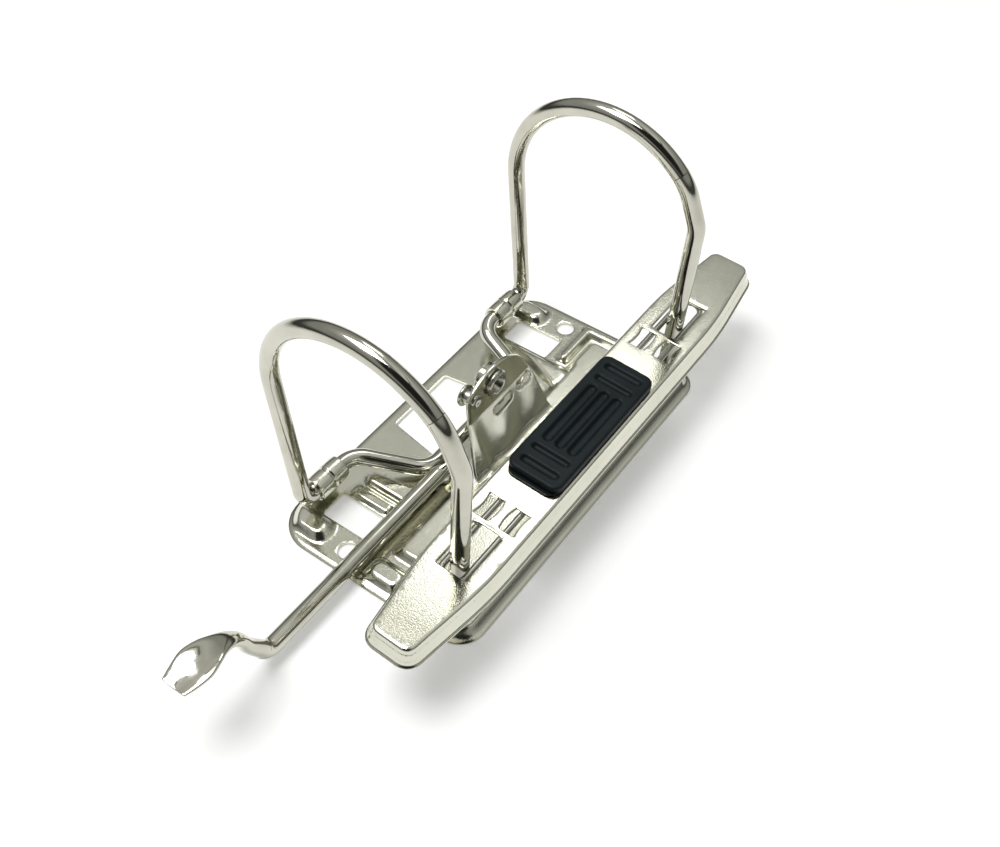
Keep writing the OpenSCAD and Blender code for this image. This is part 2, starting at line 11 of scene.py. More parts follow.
import bmesh
import bpy
import numpy as np
from mathutils import Matrix, Vector
from mathutils.geometry import delaunay_2d_cdt

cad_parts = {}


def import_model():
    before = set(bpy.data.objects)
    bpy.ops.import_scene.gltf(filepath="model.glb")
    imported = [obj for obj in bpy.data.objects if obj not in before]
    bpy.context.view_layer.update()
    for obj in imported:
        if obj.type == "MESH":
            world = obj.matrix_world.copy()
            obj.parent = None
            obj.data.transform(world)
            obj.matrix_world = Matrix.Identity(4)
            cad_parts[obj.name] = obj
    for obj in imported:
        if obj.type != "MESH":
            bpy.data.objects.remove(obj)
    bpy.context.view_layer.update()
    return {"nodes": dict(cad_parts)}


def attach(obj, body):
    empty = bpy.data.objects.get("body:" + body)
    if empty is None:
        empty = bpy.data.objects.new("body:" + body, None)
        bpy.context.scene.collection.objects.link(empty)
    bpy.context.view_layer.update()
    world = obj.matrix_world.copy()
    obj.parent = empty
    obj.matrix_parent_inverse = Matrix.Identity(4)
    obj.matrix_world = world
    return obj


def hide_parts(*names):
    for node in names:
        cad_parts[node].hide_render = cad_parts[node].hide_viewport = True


MM = 0.001

# Camera: where it stands, what it looks at, its roll and its lens on a 36 mm sensor
CAMERA_AT = (-0.13738, -0.10314, 0.20970)
CAMERA_TARGET = (0.00016, 0.00079, 0.010)
CAMERA_ROLL = -1.085
CAMERA_LENS, CAMERA_SENSOR = 42.74, 36

# Wires, in millimetres as in the part's source
WIRE_R = 1.95
RING_X = 40.0
HINGE_Y, HINGE_Z = 23.3, 7.5
CRANK_Z, CRANK_ARM = 3.1, 14.8
CRANK_ANGLE = math.degrees(math.asin((HINGE_Z - CRANK_Z) / CRANK_ARM))
CRANK_LEFT, CRANK_RIGHT = -28.0, 27.5
TURN_LEFT, TURN_RIGHT = 58.0, 75.0
BEND_LEFT, BEND_RIGHT = 6.5, 5.0
LEG_LEAN, LEG_LEN, LEG_BEND_R = 2.5, 36.0, 3.0
ARCH_R, ARCH_END = 23.6, 137.0
POST_Y, RAISED_Z = 18.0, 2.4
POST_LEAN, POST_TOP_LEAN = 4.0, 20.0
KINK_R, POST_TIP_R = 8.0, 14.0
SEAM = 0.15
SPIGOT_R, SPIGOT_LEN = 1.1, 2.2
BORE_R, BORE_DEPTH, END_CHAMFER = SPIGOT_R + 0.25, 3.1, 0.12
FOOT_R, FOOT_HEAD_R, FOOT_HEAD_T, EMBOSS_H = 1.4, 2.3, 0.9, 1.6

# Lever
LEVER_R, LEVER_Y, LEVER_Z = 1.9, 6.3, 4.0
LEVER_REACH, LEVER_BEND_R = 71.3, 3.0
BEND_X = LEVER_BEND_R - LEVER_REACH
GRIP_X = -LEVER_REACH - 8.1
BLADE_LEN, BLADE_W = 11.2, 8.5
ARM_Y, ARM_T, FLAT_H = 4.3, 1.6, 5.2
ROUND_X, FLAT_X = -15.5, -12.5

# Base plate
PLATE_LEN, PLATE_FAR, PLATE_NEAR = 92.7, 28.45, 24.8
PLATE_R, PLATE_NEAR_R = 9.0, 6.2
PLATE_WID, PLATE_MID = PLATE_FAR + PLATE_NEAR, (PLATE_FAR - PLATE_NEAR) / 2
SHEET_T, SLOPE, RIM_FLAT = 0.8, 1.4, 1.1
RIM_ROLL, RIM_RUN = 0.5, 1.5
PANEL_X, PANEL_Y = 36.5, 2.5
BLOCK_X, BLOCK_Y = 44.6, -5.2
GROOVE_X, GROOVE_Y = 41.2, 3.2
BOSS_X, BOSS_Y = 43.8, 16.2
WINDOW_X, WINDOW_Y, WINDOW_LEN, WINDOW_WID = 33.5, 15.5, 7.0, 12.4
WINDOW_IN = WINDOW_X - WINDOW_LEN / 2
HOLE_X, HOLE_Y, HOLE_R = 41.3, 10.9, 2.1
OPEN_LEFT, OPEN_RIGHT, OPEN_Y = -7.6, 11.1, 25.2
FOOT_LEFT, FOOT_RIGHT, FOOT_Y = -12.2, 17.2, -2.2
LUG_LEFT, LUG_RIGHT, LUG_Y = -7.45, 15.2, 3.4
FOLD_Z, LUG_R, CROWN_FROM, CROWN_TO = 14.8, 13.0, 16, 132
OPENING = ((OPEN_LEFT, OPEN_Y), (OPEN_RIGHT, OPEN_Y), (12.2, 17), (15.4, 12.6),
           (FOOT_RIGHT, FOOT_Y + 1), (FOOT_LEFT, FOOT_Y + 1))
RIB = ((-25.5, 7.4), (-19.9, 7.4), (-22, 20.2), (-25.5, 20.2))
WEDGE = ((20.9, 0), (WINDOW_IN - 0.6, 0), (WINDOW_IN - 0.6, 20.7))
RIM_LINES = (0.25, 0.5, 0.75, 0.95, 1.2, 1.5, 1.85, 2.15, 2.4, 2.65, 2.95)
FOOT_BEND, LUG_BEND = 1.5, 1.2
SLOT_H = 2.2
RISER_SLOTS = ((3.9, 6.8, 2.6), (12.0, 5.2, 2.2))
RISER_DENTS = ((-7.4, 6, 1.3, 9, 0.45), (-4.0, 6, 1.5, 8, -0.4), (1.2, 6, 2.6, 4.5, 0.5),
               (8, 8, 2.4, 5, -0.35), (12.5, 5, 2.4, 5, 0.3))
HOOP_LEN, HOOP_T, HOOP_TURN = 8.2, 0.9, 344
HOOP_R = WIRE_R + 0.05 + HOOP_T
HOOP_X = RING_X - LEG_BEND_R - 0.4 - HOOP_LEN / 2

# Rivets and roller
PIVOT_X, PIVOT_Z = 2.0, 20.3
EYELET_R, EYELET_BORE, FLANGE_R, FLANGE_T = 2.0, 1.25, 3.3, 1.25
BACK_RIM = 0.8
STUD_X, STUD_Z, STUD_R, STUD_HEAD_R = -4.6, 20.0, 1.2, 2.6

# Compressor bar, in its own frame: the profile is (growth of the outline, height)
BAR_LEN, BAR_WID, BAR_END_WID = 127.0, 14.4, 9.0
BAR_T, BAR_Z, BAR_X, PAD_X = 0.7, 21.3, 2.3, -1.6
BAR_TAPER, BAR_CORNER, BAR_BEND = 20.0, 2.0, 6.0
BAR_PROFILE = (
    (-0.60, 0.0), (-0.35, -0.03), (-0.12, -0.12), (0.06, -0.28), (0.18, -0.50), (0.24, -0.76),
    (0.28, -1.02), (0.38, -1.22), (0.52, -1.38), (0.60, -1.6), (0.64, -1.95), (0.68, -2.4),
    (0.76, -2.7), (0.88, -2.95), (1.02, -3.15), (1.12, -3.42), (1.18, -3.7), (1.32, -3.9),
    (1.5, -4.0), (1.64, -4.08), (1.7, -4.2), (1.7, -4.42), (1.64, -4.55), (1.5, -4.6),
    (0.9, -4.6), (0.66, -4.54), (0.52, -4.36), (0.42, -3.9), (0.28, -3.1), (0.08, -2.1),
    (-0.12, -1.3), (-0.32, -0.92), (-0.6, -0.76), (-1.0, -0.7))
SLOT_X, SLOT_LEN, SLOT_WID = 39.1, 12.2, 7.0
SLOT_ROUND = (SLOT_X + 2.4, 0, 8.8)
SMALL_X0, SMALL_X1, SMALL_Y0, SMALL_Y1, SMALL_BOW = 25.8, 31.6, 1.05, 4.5, 10.0
FOOT_SLOTS = tuple((PAD_X + side * 12 + 1.5, 8.6, 5.6) for side in (-1, 1))
BAR_LEAN = radians(POST_LEAN)
BAR_Y = -POST_Y - (BAR_Z - RAISED_Z) * math.tan(BAR_LEAN)

# Thumb slide: grooves are (x, y, length, width, set across the pad)
PAD_GAP = 0.15
GRIP_SHIFT, GRIP_LEN, GRIP_WID, GRIP_TOP = 1.2, 37.2, 12.9, 2.2
GROOVE_T = 0.75
PAD_GROOVES = [(0, y, 18.6, 2.3, False) for y in (-3.1, 0, 3.1)] + [
    (x, 0, 9.2, width, True) for x, width in ((-15.6, 1.9), (-11.7, 1.7), (11.7, 1.7), (15.6, 1.9))]
PAD_PROFILE = ((0.5, -0.02), (0.28, -0.09), (0.12, -0.22), (0.03, -0.40), (0.0, -0.65),
               (0.0, -1.55), (0.04, -1.83), (0.16, -1.98), (0.4, -2.05))

# Stage: the room's colours by height (the sine of the angle above the floor), its dark
# side, the floor with its own light, which only the view sees, and the lamps as place,
# side of the square and watts
SKY = ((0.0, (0.50, 0.51, 0.49)), (0.05, (0.05, 0.052, 0.048)), (0.20, (0.07, 0.073, 0.068)),
       (0.36, (0.33, 0.34, 0.325)), (0.62, (0.38, 0.39, 0.375)), (0.72, (0.50, 0.505, 0.49)),
       (0.81, (0.66, 0.66, 0.64)), (0.87, (0.60, 0.60, 0.58)), (0.877, (0.03, 0.03, 0.028)),
       (0.888, (0.03, 0.03, 0.028)), (0.895, (1.05, 1.05, 1.02)), (0.93, (0.85, 0.85, 0.83)),
       (1.0, (0.30, 0.305, 0.29)))
DARK_SIDE, DARK_FROM, DARK_FULL = (-0.524, -0.395, 0.755), 0.82, 0.90
DARK_COLOUR = (0.02, 0.021, 0.02, 1)
FLOOR_SIZE, FLOOR_Z, FLOOR_COLOUR, FLOOR_GLOW = 4.0, -0.00005, (0.86, 0.86, 0.86, 1), 0.28
LAMPS = {"card": ((0.47, 0.19, 0.80), 0.26, 0.62), "overhead": ((-0.16, 0.22, 0.90), 0.5, 5.6)}
LAMP_TARGET = (0, 0, 0.01)

# Meshes: points round a wire, its steps in degrees and millimetres, the smallest radius,
# and the steps of the sheets' points. Noises stay mostly within their middle.
SIDES, ARC_STEP, RUN_STEP, AXIS_R = 40, 3.0, 1.5, 0.02
PLATE_STEP, RISER_STEP, BAR_STEP, PAD_STEP = 0.33, 0.45, 1.1, 0.24
RISER_EDGE, BAR_EDGE, CREASE = 0.14, 0.3, 40
NOISE_MIDDLE = (0.3, 0.7)


# ---------- materials ----------

def feed(tree, node, inputs):
    """Sets a node's sockets: each value is a constant or another node's output."""
    for key, value in inputs.items():
        if isinstance(value, bpy.types.NodeSocket):
            tree.links.new(value, node.inputs[key])
        else:
            node.inputs[key].default_value = value


def add(tree, kind, inputs, output=0, **settings):
    """The output of a new node."""
    node = tree.nodes.new(kind)
    for key, value in settings.items():
        setattr(node, key, value)
    feed(tree, node, inputs)
    return node.outputs[output]


def coordinates(tree, source, scale=(1, 1, 1)):
    """Texture coordinates from the object or the UV map, scaled along each axis."""
    place = add(tree, "ShaderNodeTexCoord", {}, source)
    return add(tree, "ShaderNodeMapping", {"Vector": place, "Scale": scale})


def noise(tree, vector, scale, detail):
    inputs = {"Vector": vector, "Scale": scale, "Detail": detail}
    return add(tree, "ShaderNodeTexNoise", inputs, "Fac")


def ramp(tree, fac, stops):
    """A colour ramp: stops are (position, colour)."""
    node = tree.nodes.new("ShaderNodeValToRGB")
    elements = node.color_ramp.elements
    while len(elements) < len(stops):
        elements.new(0.5)
    for element, (position, colour) in zip(elements, stops):
        element.position = position
        element.color = (*colour, 1)
    feed(tree, node, {"Fac": fac})
    return node.outputs["Color"]


def spread(tree, fac, low, high):
    """Maps the middle of a noise to the range from low to high."""
    return add(tree, "ShaderNodeMapRange", {
        "Value": fac, "From Min": NOISE_MIDDLE[0], "From Max": NOISE_MIDDLE[1],
        "To Min": low, "To Max": high}, "Result")


def bump(tree, height, strength, distance, **below):
    inputs = {"Height": height, "Strength": strength, "Distance": distance, **below}
    return add(tree, "ShaderNodeBump", inputs, "Normal")


def new_material(name):
    mat = bpy.data.materials.new(name)
    mat.use_nodes = True
    return mat, mat.node_tree, mat.node_tree.nodes["Principled BSDF"]


def surface(name, tint, colours, dull, roughness, relief, height, axes=(1, 1, 1), metallic=1.0):
    """A material with its tree and shader. tint, dull and relief are (scale, detail) of the
    noises for colour, roughness and bump; height is the bump's (strength, metres)."""
    mat, tree, shader = new_material(name)
    place = coordinates(tree, "Object", axes)
    feed(tree, shader, {
        "Base Color": ramp(tree, noise(tree, place, *tint), list(zip(NOISE_MIDDLE, colours))),
        "Roughness": spread(tree, noise(tree, place, *dull), *roughness),
        "Metallic": metallic,
        "Normal": bump(tree, noise(tree, place, *relief), *height)})
    return mat, tree, shader


def bright_nickel(name="bright_nickel", streaks=True):
    """Polished nickel plate on drawn wire: faint streaks run along the wire."""
    mat, tree, shader = surface(name, (160, 3), ((0.49, 0.48, 0.41), (0.58, 0.57, 0.49)),
                                (900, 3), (0.05, 0.13), (420, 2), (0.10, 0.00012))
    if streaks:
        drawn = noise(tree, coordinates(tree, "UV", (34, 60, 1)), 1.0, 4)
        below = shader.inputs["Normal"].links[0].from_socket
        feed(tree, shader, {"Normal": bump(tree, drawn, 0.12, 0.00006, Normal=below)})
    return mat


def satin_nickel():
    """Nickel plate on rolled sheet, a little yellow, with a fine sandy grain that sparkles."""
    return surface("satin_nickel", (90, 3), ((0.63, 0.625, 0.53), (0.71, 0.705, 0.60)),
                   (3400, 2), (0.10, 0.17), (3400, 2), (0.5, 0.00005))[0]


def rivet_steel():
    """Plated small parts, a little duller, with marks of the heading tool."""
    return surface("rivet_steel", (500, 3), ((0.42, 0.41, 0.36), (0.58, 0.57, 0.51)),
                   (500, 3), (0.16, 0.3), (500, 3), (0.25, 0.0002))[0]


def spring_steel():
    """Drawn spring wire, greyer than the plated sheet, with marks along the wire."""
    return surface("spring_steel", (1.0, 3), ((0.34, 0.335, 0.30), (0.48, 0.475, 0.43)),
                   (1.0, 3), (0.18, 0.32), (1.0, 3), (0.2, 0.00008), axes=(60, 900, 900))[0]


def black_plastic():
    """Moulded plastic, near black with a blue-green cast and a fine eroded grain."""
    mat, _, shader = surface(
        "black_plastic", (180, 3), ((0.005, 0.009, 0.011), (0.008, 0.014, 0.016)),
        (3200, 2), (0.36, 0.52), (3200, 2), (0.2, 0.00006), metallic=0.0)
    shader.inputs["Specular IOR Level"].default_value = 0.15
    return mat


def floor_material():
    """White paper. Only view rays see it a little brighter, so its shadow is kept."""
    mat, tree, shader = new_material("paper_white")
    fibres = noise(tree, coordinates(tree, "Object"), 900, 2)
    feed(tree, shader, {"Base Color": FLOOR_COLOUR, "Roughness": 0.9,
                        "Normal": bump(tree, fibres, 0.02, 0.0001)})
    path = tree.nodes.new("ShaderNodeLightPath").outputs
    seen = path["Is Camera Ray"]
    for ray in ("Is Glossy Ray", "Is Transmission Ray"):
        seen = add(tree, "ShaderNodeMath", {0: seen, 1: path[ray]}, operation="MAXIMUM")
    lift = add(tree, "ShaderNodeMath", {0: seen, 1: FLOOR_GLOW}, operation="MULTIPLY")
    glow = add(tree, "ShaderNodeEmission", {"Strength": lift})
    both = add(tree, "ShaderNodeAddShader", {0: shader.outputs[0], 1: glow})
    feed(tree, tree.nodes["Material Output"], {"Surface": both})
    return mat


# ---------- geometry ----------

def linked(name, mesh):
    obj = bpy.data.objects.new(name, mesh)
    bpy.context.scene.collection.objects.link(obj)
    return obj


def finish_mesh(name, verts, faces, uvs=()):
    """A mesh object from vertices in millimetres. uvs holds one pair per face corner."""
    mesh = bpy.data.meshes.new(name)
    mesh.from_pydata([tuple(c * MM for c in v) for v in verts], [], faces)
    if uvs:
        layer = mesh.uv_layers.new(name="UVMap")
        for loop, uv in zip(layer.data, uvs):
            loop.uv = uv
    mesh.polygons.foreach_set("use_smooth", [True] * len(mesh.polygons))
    mesh.update()
    return linked(name, mesh)


def skin(name, rings, lengths, caps=True):
    """Joins rings of points into a skin. UV: once around, and metres along."""
    count = len(rings[0])
    verts = [p for ring in rings for p in ring]
    faces, uvs = [], []
    for i in range(len(rings) - 1):
        for k in range(count):
            n = (k + 1) % count
            faces.append((i * count + k, i * count + n, (i + 1) * count + n, (i + 1) * count + k))
            u0, u1 = k / count, (k + 1) / count
            v0, v1 = lengths[i] * MM, lengths[i + 1] * MM
            uvs += [(u0, v0), (u1, v0), (u1, v1), (u0, v1)]
    if caps:
        faces.append(tuple(range(count - 1, -1, -1)))
        faces.append(tuple((len(rings) - 1) * count + k for k in range(count)))
        uvs += [(0, 0)] * (2 * count)
    return finish_mesh(name, verts, faces, uvs)


def lathe(profile, at):
    """Rings of a turned piece and the length along its (radius, height) profile. at gives
    the point of (first side step, second side step, height)."""
    rings, lengths, last = [], [], profile[0]
    for r, h in profile:
        lengths.append((lengths[-1] if lengths else 0.0) + hypot(r - last[0], h - last[1]))
        last = (r, h)
        r = max(r, AXIS_R)
        rings.append([at(r * cos(2 * pi * k / SIDES), r * sin(2 * pi * k / SIDES), h)
                      for k in range(SIDES)])
    return rings, lengths


def rotation(degrees, axis):
    return Matrix.Rotation(radians(degrees), 4, axis)


def turtle(start, legs):
    """Frames along a wire. Each leg is (run, turn, bend radius, roll), as in the source."""
    matrix, phase, length = start.copy(), 0.0, 0.0
    frames = [(matrix.copy(), phase, length)]
    for run, turn, bend, roll in legs:
        matrix = matrix @ rotation(roll, "Z")
        phase -= radians(roll)
        steps = max(1, int(run / RUN_STEP)) if run > 0 else 0
        for i in range(1, steps + 1):
            step = matrix @ Matrix.Translation((0, 0, run * i / steps))
            frames.append((step, phase, length + run * i / steps))
        matrix = matrix @ Matrix.Translation((0, 0, run))
        length += run
        arcs = max(2, int(turn / ARC_STEP))
        for i in range(1, arcs + 1):
            a = radians(turn) * i / arcs
            step = matrix @ Matrix.Translation((bend - bend * cos(a), 0, bend * sin(a)))
            frames.append((step @ Matrix.Rotation(a, 4, "Y"), phase, length + bend * a))
        matrix = frames[-1][0].copy()
        length += bend * radians(turn)
    return frames


def tube(name, frames, radius, tip):
    """A round wire along frames. tip is a profile of (radius, offset) past its last frame."""
    rings, lengths = [], []
    matrix, phase, length = frames[-1]
    stations = [(*station, radius, 0) for station in frames]
    stations += [(matrix, phase, length + offset, max(r, AXIS_R), offset) for r, offset in tip]
    for matrix, phase, length, r, offset in stations:
        turns = [2 * pi * k / SIDES + phase for k in range(SIDES)]
        rings.append([tuple(matrix @ Vector((r * cos(a), r * sin(a), offset)))
                      for a in turns])
        lengths.append(length)
    return skin(name, rings, lengths)


def joined(name, pieces):
    """Joins pieces into one object."""
    for obj in bpy.context.selected_objects:
        obj.select_set(False)
    for piece in pieces:
        piece.select_set(True)
    bpy.context.view_layer.objects.active = pieces[0]
    bpy.ops.object.join()
    pieces[0].name = name
    pieces[0].data.name = name
    return pieces[0]


def sharpen(obj, angle):
    """Smooth shading, with a crease where faces meet at more than angle degrees."""
    bm = bmesh.new()
    bm.from_mesh(obj.data)
    for edge in bm.edges:
        if len(edge.link_faces) == 2:
            edge.smooth = edge.calc_face_angle(0) < radians(angle)
    for face in bm.faces:
        face.smooth = True
    bm.to_mesh(obj.data)
    bm.free()


def rounded_copy(node, name, width, segments=3, angle=28, keep=None):
    """A copy of a CAD node with its edges rounded, width in millimetres."""
    bm = bmesh.new()
    bm.from_mesh(frame["nodes"][node].data)
    bmesh.ops.remove_doubles(bm, verts=bm.verts, dist=2e-6)
    if keep is not None:
        plane, normal = keep
        bmesh.ops.bisect_plane(bm, geom=bm.verts[:] + bm.edges[:] + bm.faces[:], dist=1e-7,
                               plane_co=plane, plane_no=normal, clear_outer=True)
    bmesh.ops.dissolve_limit(bm, angle_limit=radians(1.2), verts=bm.verts, edges=bm.edges)
    for face in bm.faces:
        face.smooth = True
    mesh = bpy.data.meshes.new(name)
    bm.to_mesh(mesh)
    bm.free()
    if "custom_normal" in mesh.attributes:
        mesh.attributes.remove(mesh.attributes["custom_normal"])
    obj = linked(name, mesh)
    bevel = obj.modifiers.new("round", "BEVEL")
    bevel.width = width * MM
    bevel.segments = segments
    bevel.limit_method = "ANGLE"
    bevel.angle_limit = radians(angle)
    return weighted(obj)


def place(piece, body, node, material, slot):
    """Puts a finished piece on its body in the place of a CAD node."""
    if material is not None:
        piece.data.materials.clear()
        piece.data.materials.append(material)
    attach(piece, body)
    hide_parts(node)


# ---------- pieces ----------

def arm_run(turn, bend):
    """The straight length of a crank's arm that turns twice, there and back."""
    a = radians(turn)
    return (CRANK_ARM - 2 * bend * (1 - cos(a))) / sin(a)


def arm_reach(turn, bend):
    """How far along X such an arm goes."""
    a = radians(turn)
    return 2 * bend * sin(a) + arm_run(turn, bend) * cos(a)


def arch_wire():
    end_left = CRANK_LEFT + arm_reach(TURN_LEFT, BEND_LEFT)
    end_right = CRANK_RIGHT - arm_reach(TURN_RIGHT, BEND_RIGHT)
    straight = RING_X - LEG_BEND_R
    start = (Matrix.Translation((0, HINGE_Y, HINGE_Z))
             @ rotation(CRANK_ANGLE - 180, "X")
             @ Matrix.Translation((end_left, CRANK_ARM, 0)))
    tip = [(WIRE_R - END_CHAMFER, 0.0), (SPIGOT_R, 0.0), (SPIGOT_R, SPIGOT_LEN - 0.5),
           (SPIGOT_R - 0.5, SPIGOT_LEN), (0, SPIGOT_LEN)]
    halves = []
    for side, middle, hinge_run, turn, bend in (
            (1, end_right - end_left, straight - CRANK_RIGHT, TURN_RIGHT, BEND_RIGHT),
            (-1, 0, straight + CRANK_LEFT, TURN_LEFT, BEND_LEFT)):
        legs = [(middle, turn, bend, 0), (arm_run(turn, bend), turn, bend, 180),
                (hinge_run, 90, LEG_BEND_R, side * (270 - LEG_LEAN - CRANK_ANGLE)),
                (LEG_LEN - LEG_BEND_R, ARCH_END + LEG_LEAN, ARCH_R, side * 90)]
        ahead = start @ rotation(side * 90, "Y") @ rotation(-90, "Z")
        halves.append(tube("half", turtle(ahead, legs), WIRE_R, tip))
    piece = joined("arch_wire_drawn", halves)
    sharpen(piece, CREASE)
    return piece


def post_runs():
    """The lengths of a post's two straight runs, from its ends and bends."""
    lean, end = radians(LEG_LEAN), radians(ARCH_END)
    low, top = radians(POST_LEAN), radians(POST_TOP_LEAN)
    cy = HINGE_Y + LEG_LEN * sin(lean) - ARCH_R * cos(lean)
    cz = HINGE_Z + LEG_LEN * cos(lean) + ARCH_R * sin(lean)
    tip_y, tip_z = cy + ARCH_R * cos(end), cz + ARCH_R * sin(end)
    end = radians(180 - ARCH_END)
    bends_y = KINK_R * (cos(low) - cos(top)) + POST_TIP_R * (cos(top) - cos(end))
    bends_z = KINK_R * (sin(top) + sin(low)) + POST_TIP_R * (sin(end) - sin(top))
    rest_y, rest_z = tip_y + POST_Y - bends_y, tip_z - RAISED_Z - bends_z
    det = sin(low) * cos(top) + sin(top) * cos(low)
    return ((rest_z * sin(top) - rest_y * cos(top)) / det,
            (rest_z * sin(low) + rest_y * cos(low)) / det)


def post(side):
    low, high = post_runs()
    start = (Matrix.Translation((side * RING_X, -POST_Y, RAISED_Z))
             @ rotation(POST_LEAN, "X") @ rotation(90, "Z"))
    seam_turn = math.degrees(SEAM / POST_TIP_R)
    legs = [(low, POST_LEAN + POST_TOP_LEAN, KINK_R, 0),
            (high, 180 - ARCH_END - POST_TOP_LEAN - seam_turn, POST_TIP_R, 0)]
    tip = [(WIRE_R - END_CHAMFER, 0.1), (BORE_R, 0.1), (BORE_R, -BORE_DEPTH), (0, -BORE_DEPTH)]
    wire = tube("post", turtle(start, legs), WIRE_R, tip)
    head = EMBOSS_H - FOOT_HEAD_T
    profile = [(0, head), (FOOT_HEAD_R - 0.3, head), (FOOT_HEAD_R, head + 0.3),
               (FOOT_HEAD_R, EMBOSS_H), (FOOT_R, EMBOSS_H), (FOOT_R, RAISED_Z + 0.1),
               (0, RAISED_Z + 0.1)]
    foot = skin("foot", *lathe(profile, lambda u, v, h: (side * RING_X + u, v - POST_Y, h)))
    piece = joined("post_left_drawn" if side < 0 else "post_right_drawn", [wire, foot])
    sharpen(piece, CREASE)
    return piece


def lever_stations():
    """(x, y, z, size across, size through) from the flat shank out to the blade's tip."""
    mid_y = ARM_Y + ARM_T / 2
    d = 2 * LEVER_R
    path = [(FLAT_X + 0.6, mid_y, LEVER_Z, ARM_T, FLAT_H),
            (FLAT_X, mid_y, LEVER_Z, ARM_T, FLAT_H),
            (FLAT_X - 0.8, mid_y + 0.2, LEVER_Z, ARM_T + 0.5, FLAT_H - 0.2),
            (FLAT_X - 1.6, (mid_y + LEVER_Y) / 2, LEVER_Z, (ARM_T + d) / 2, FLAT_H - 0.7),
            (ROUND_X + 0.5, LEVER_Y - 0.12, LEVER_Z, d - 0.3, d + 0.2),
            (ROUND_X - 0.4, LEVER_Y, LEVER_Z, d, d)]
    runs = 34
    path += [(ROUND_X - 0.4 + (BEND_X - ROUND_X + 0.4) * i / runs, LEVER_Y, LEVER_Z, d, d)
             for i in range(1, runs + 1)]
    for a in (13, 26, 39, 52, 65, 75):
        r = radians(a)
        path.append((BEND_X - LEVER_BEND_R * sin(r), LEVER_Y,
                     LEVER_Z + LEVER_BEND_R * (1 - cos(r)), d, d))
    for x, z, wide, thick in (
            (GRIP_X + 5.6, 7.2, d + 0.3, 3.3), (GRIP_X + 4.2, 11.2, d + 0.3, 2.8),
            (GRIP_X + 2.3, 13.8, d + 0.5, 2.3), (GRIP_X, 15.2, 5.3, 1.9),
            (GRIP_X - BLADE_LEN * 0.24, 15.8, BLADE_W - 1.2, 1.6),
            (GRIP_X - BLADE_LEN * 0.48, 15.8, BLADE_W, 1.4),
            (GRIP_X - BLADE_LEN * 0.74, 15.5, BLADE_W - 1, 1.3),
            (GRIP_X - BLADE_LEN * 0.985, 15.4, BLADE_W - 2.6, 1.1)):
        path.append((x, LEVER_Y, LEVER_Z + z, wide, thick))
    return path


def catmull(p0, p1, p2, p3, t):
    return tuple(0.5 * (2 * b + (c - a) * t + (2 * a - 5 * b + 4 * c - d) * t * t
                        + (3 * b - a - 3 * c + d) * t ** 3)
                 for a, b, c, d in zip(p0, p1, p2, p3))


def lever_wire():
    """The lever's wire, pressed flat into a dished thumb blade at its end."""
    stations = lever_stations()
    path = []
    for i in range(len(stations) - 1):
        p0 = stations[max(i - 1, 0)]
        p3 = stations[min(i + 2, len(stations) - 1)]
        steps = 5 if i > 38 or i < 5 else 2
        for k in range(steps):
            path.append(catmull(p0, stations[i], stations[i + 1], p3, k / steps))
    path.append(stations[-1])
    rings, lengths, length = [], [], 0.0
    for i, (x, y, z, wide, thick) in enumerate(path):
        before, after = path[max(i - 1, 0)], path[min(i + 1, len(path) - 1)]
        dx, dz = after[0] - before[0], after[2] - before[2]
        size = hypot(dx, dz)
        nx, nz = dz / size, -dx / size
        length += hypot(x - before[0], z - before[2])
        flat = max(0.0, min(1.0, (wide - thick - 0.6) / 4.0))
        power = 1 - 0.35 * flat
        dish = 0.45 * flat
        ring = []
        for k in range(SIDES):
            a = 2 * pi * k / SIDES
            c, s = cos(a), sin(a)
            across = math.copysign(abs(s) ** power, s)
            through = math.copysign(abs(c) ** power, c)
            lift = through * thick / 2 + dish * (across * across - 0.45)
            ring.append((x + nx * lift, y + across * wide / 2, z + nz * lift))
        rings.append(ring)
        lengths.append(length)
    last = rings[-1]
    cx, cy, cz = (sum(p[i] for p in last) / SIDES for i in range(3))
    for share, out in ((0.93, 0.12), (0.8, 0.17)):
        rings.append([(cx + (x - cx) * share - out, cy + (y - cy) * share, cz + (z - cz) * share)
                      for x, y, z in last])
        lengths.append(length + out)
    return skin("lever_wire", rings, lengths)


def lever():
    wire = lever_wire()
    sharpen(wire, 60)
    wire.data.materials.append(BRIGHT)
    arm = rounded_copy("lever", "lever_arm", 0.22, 3,
                       keep=((FLAT_X * MM, 0, 0), (-1, 0, 0)))
    arm.data.materials.clear()
    arm.data.materials.append(BRIGHT_SHEET)
    return joined("lever_formed", [wire, arm])


# ---------- pressed sheets ----------

def spaced(points, step):
    """A closed outline with points at most step apart. Corners keep their points."""
    result = []
    for i, a in enumerate(points):
        b = points[(i + 1) % len(points)]
        parts = max(1, math.ceil(hypot(b[0] - a[0], b[1] - a[1]) / step))
        result += [(a[0] + (b[0] - a[0]) * k / parts, a[1] + (b[1] - a[1]) * k / parts)
                   for k in range(parts)]
    return result


def curve(a, b, c, parts):
    """Points of a bend from a to c that heads for b."""
    ts = [k / parts for k in range(parts + 1)]
    return [tuple(a * (1 - t) ** 2 + b * (2 * t * (1 - t)) + c * t * t) for t in ts]


def neighbours(loop):
    """Each point of an outline with the ones before and after it."""
    around = [Vector(p) for p in loop[-1:] + loop + loop[:1]]
    return zip(around, around[1:], around[2:])


def softened(points, radius, step=0.35):
    """An outline whose corners are rounded with curves that start radius away."""
    result = []
    for before, p, after in neighbours(points):
        cut = min(radius, (before - p).length * 0.48, (after - p).length * 0.48)
        a = p + (before - p).normalized() * cut
        c = p + (after - p).normalized() * cut
        result += curve(a, p, c, max(2, round(2 * cut / step)))
    return result


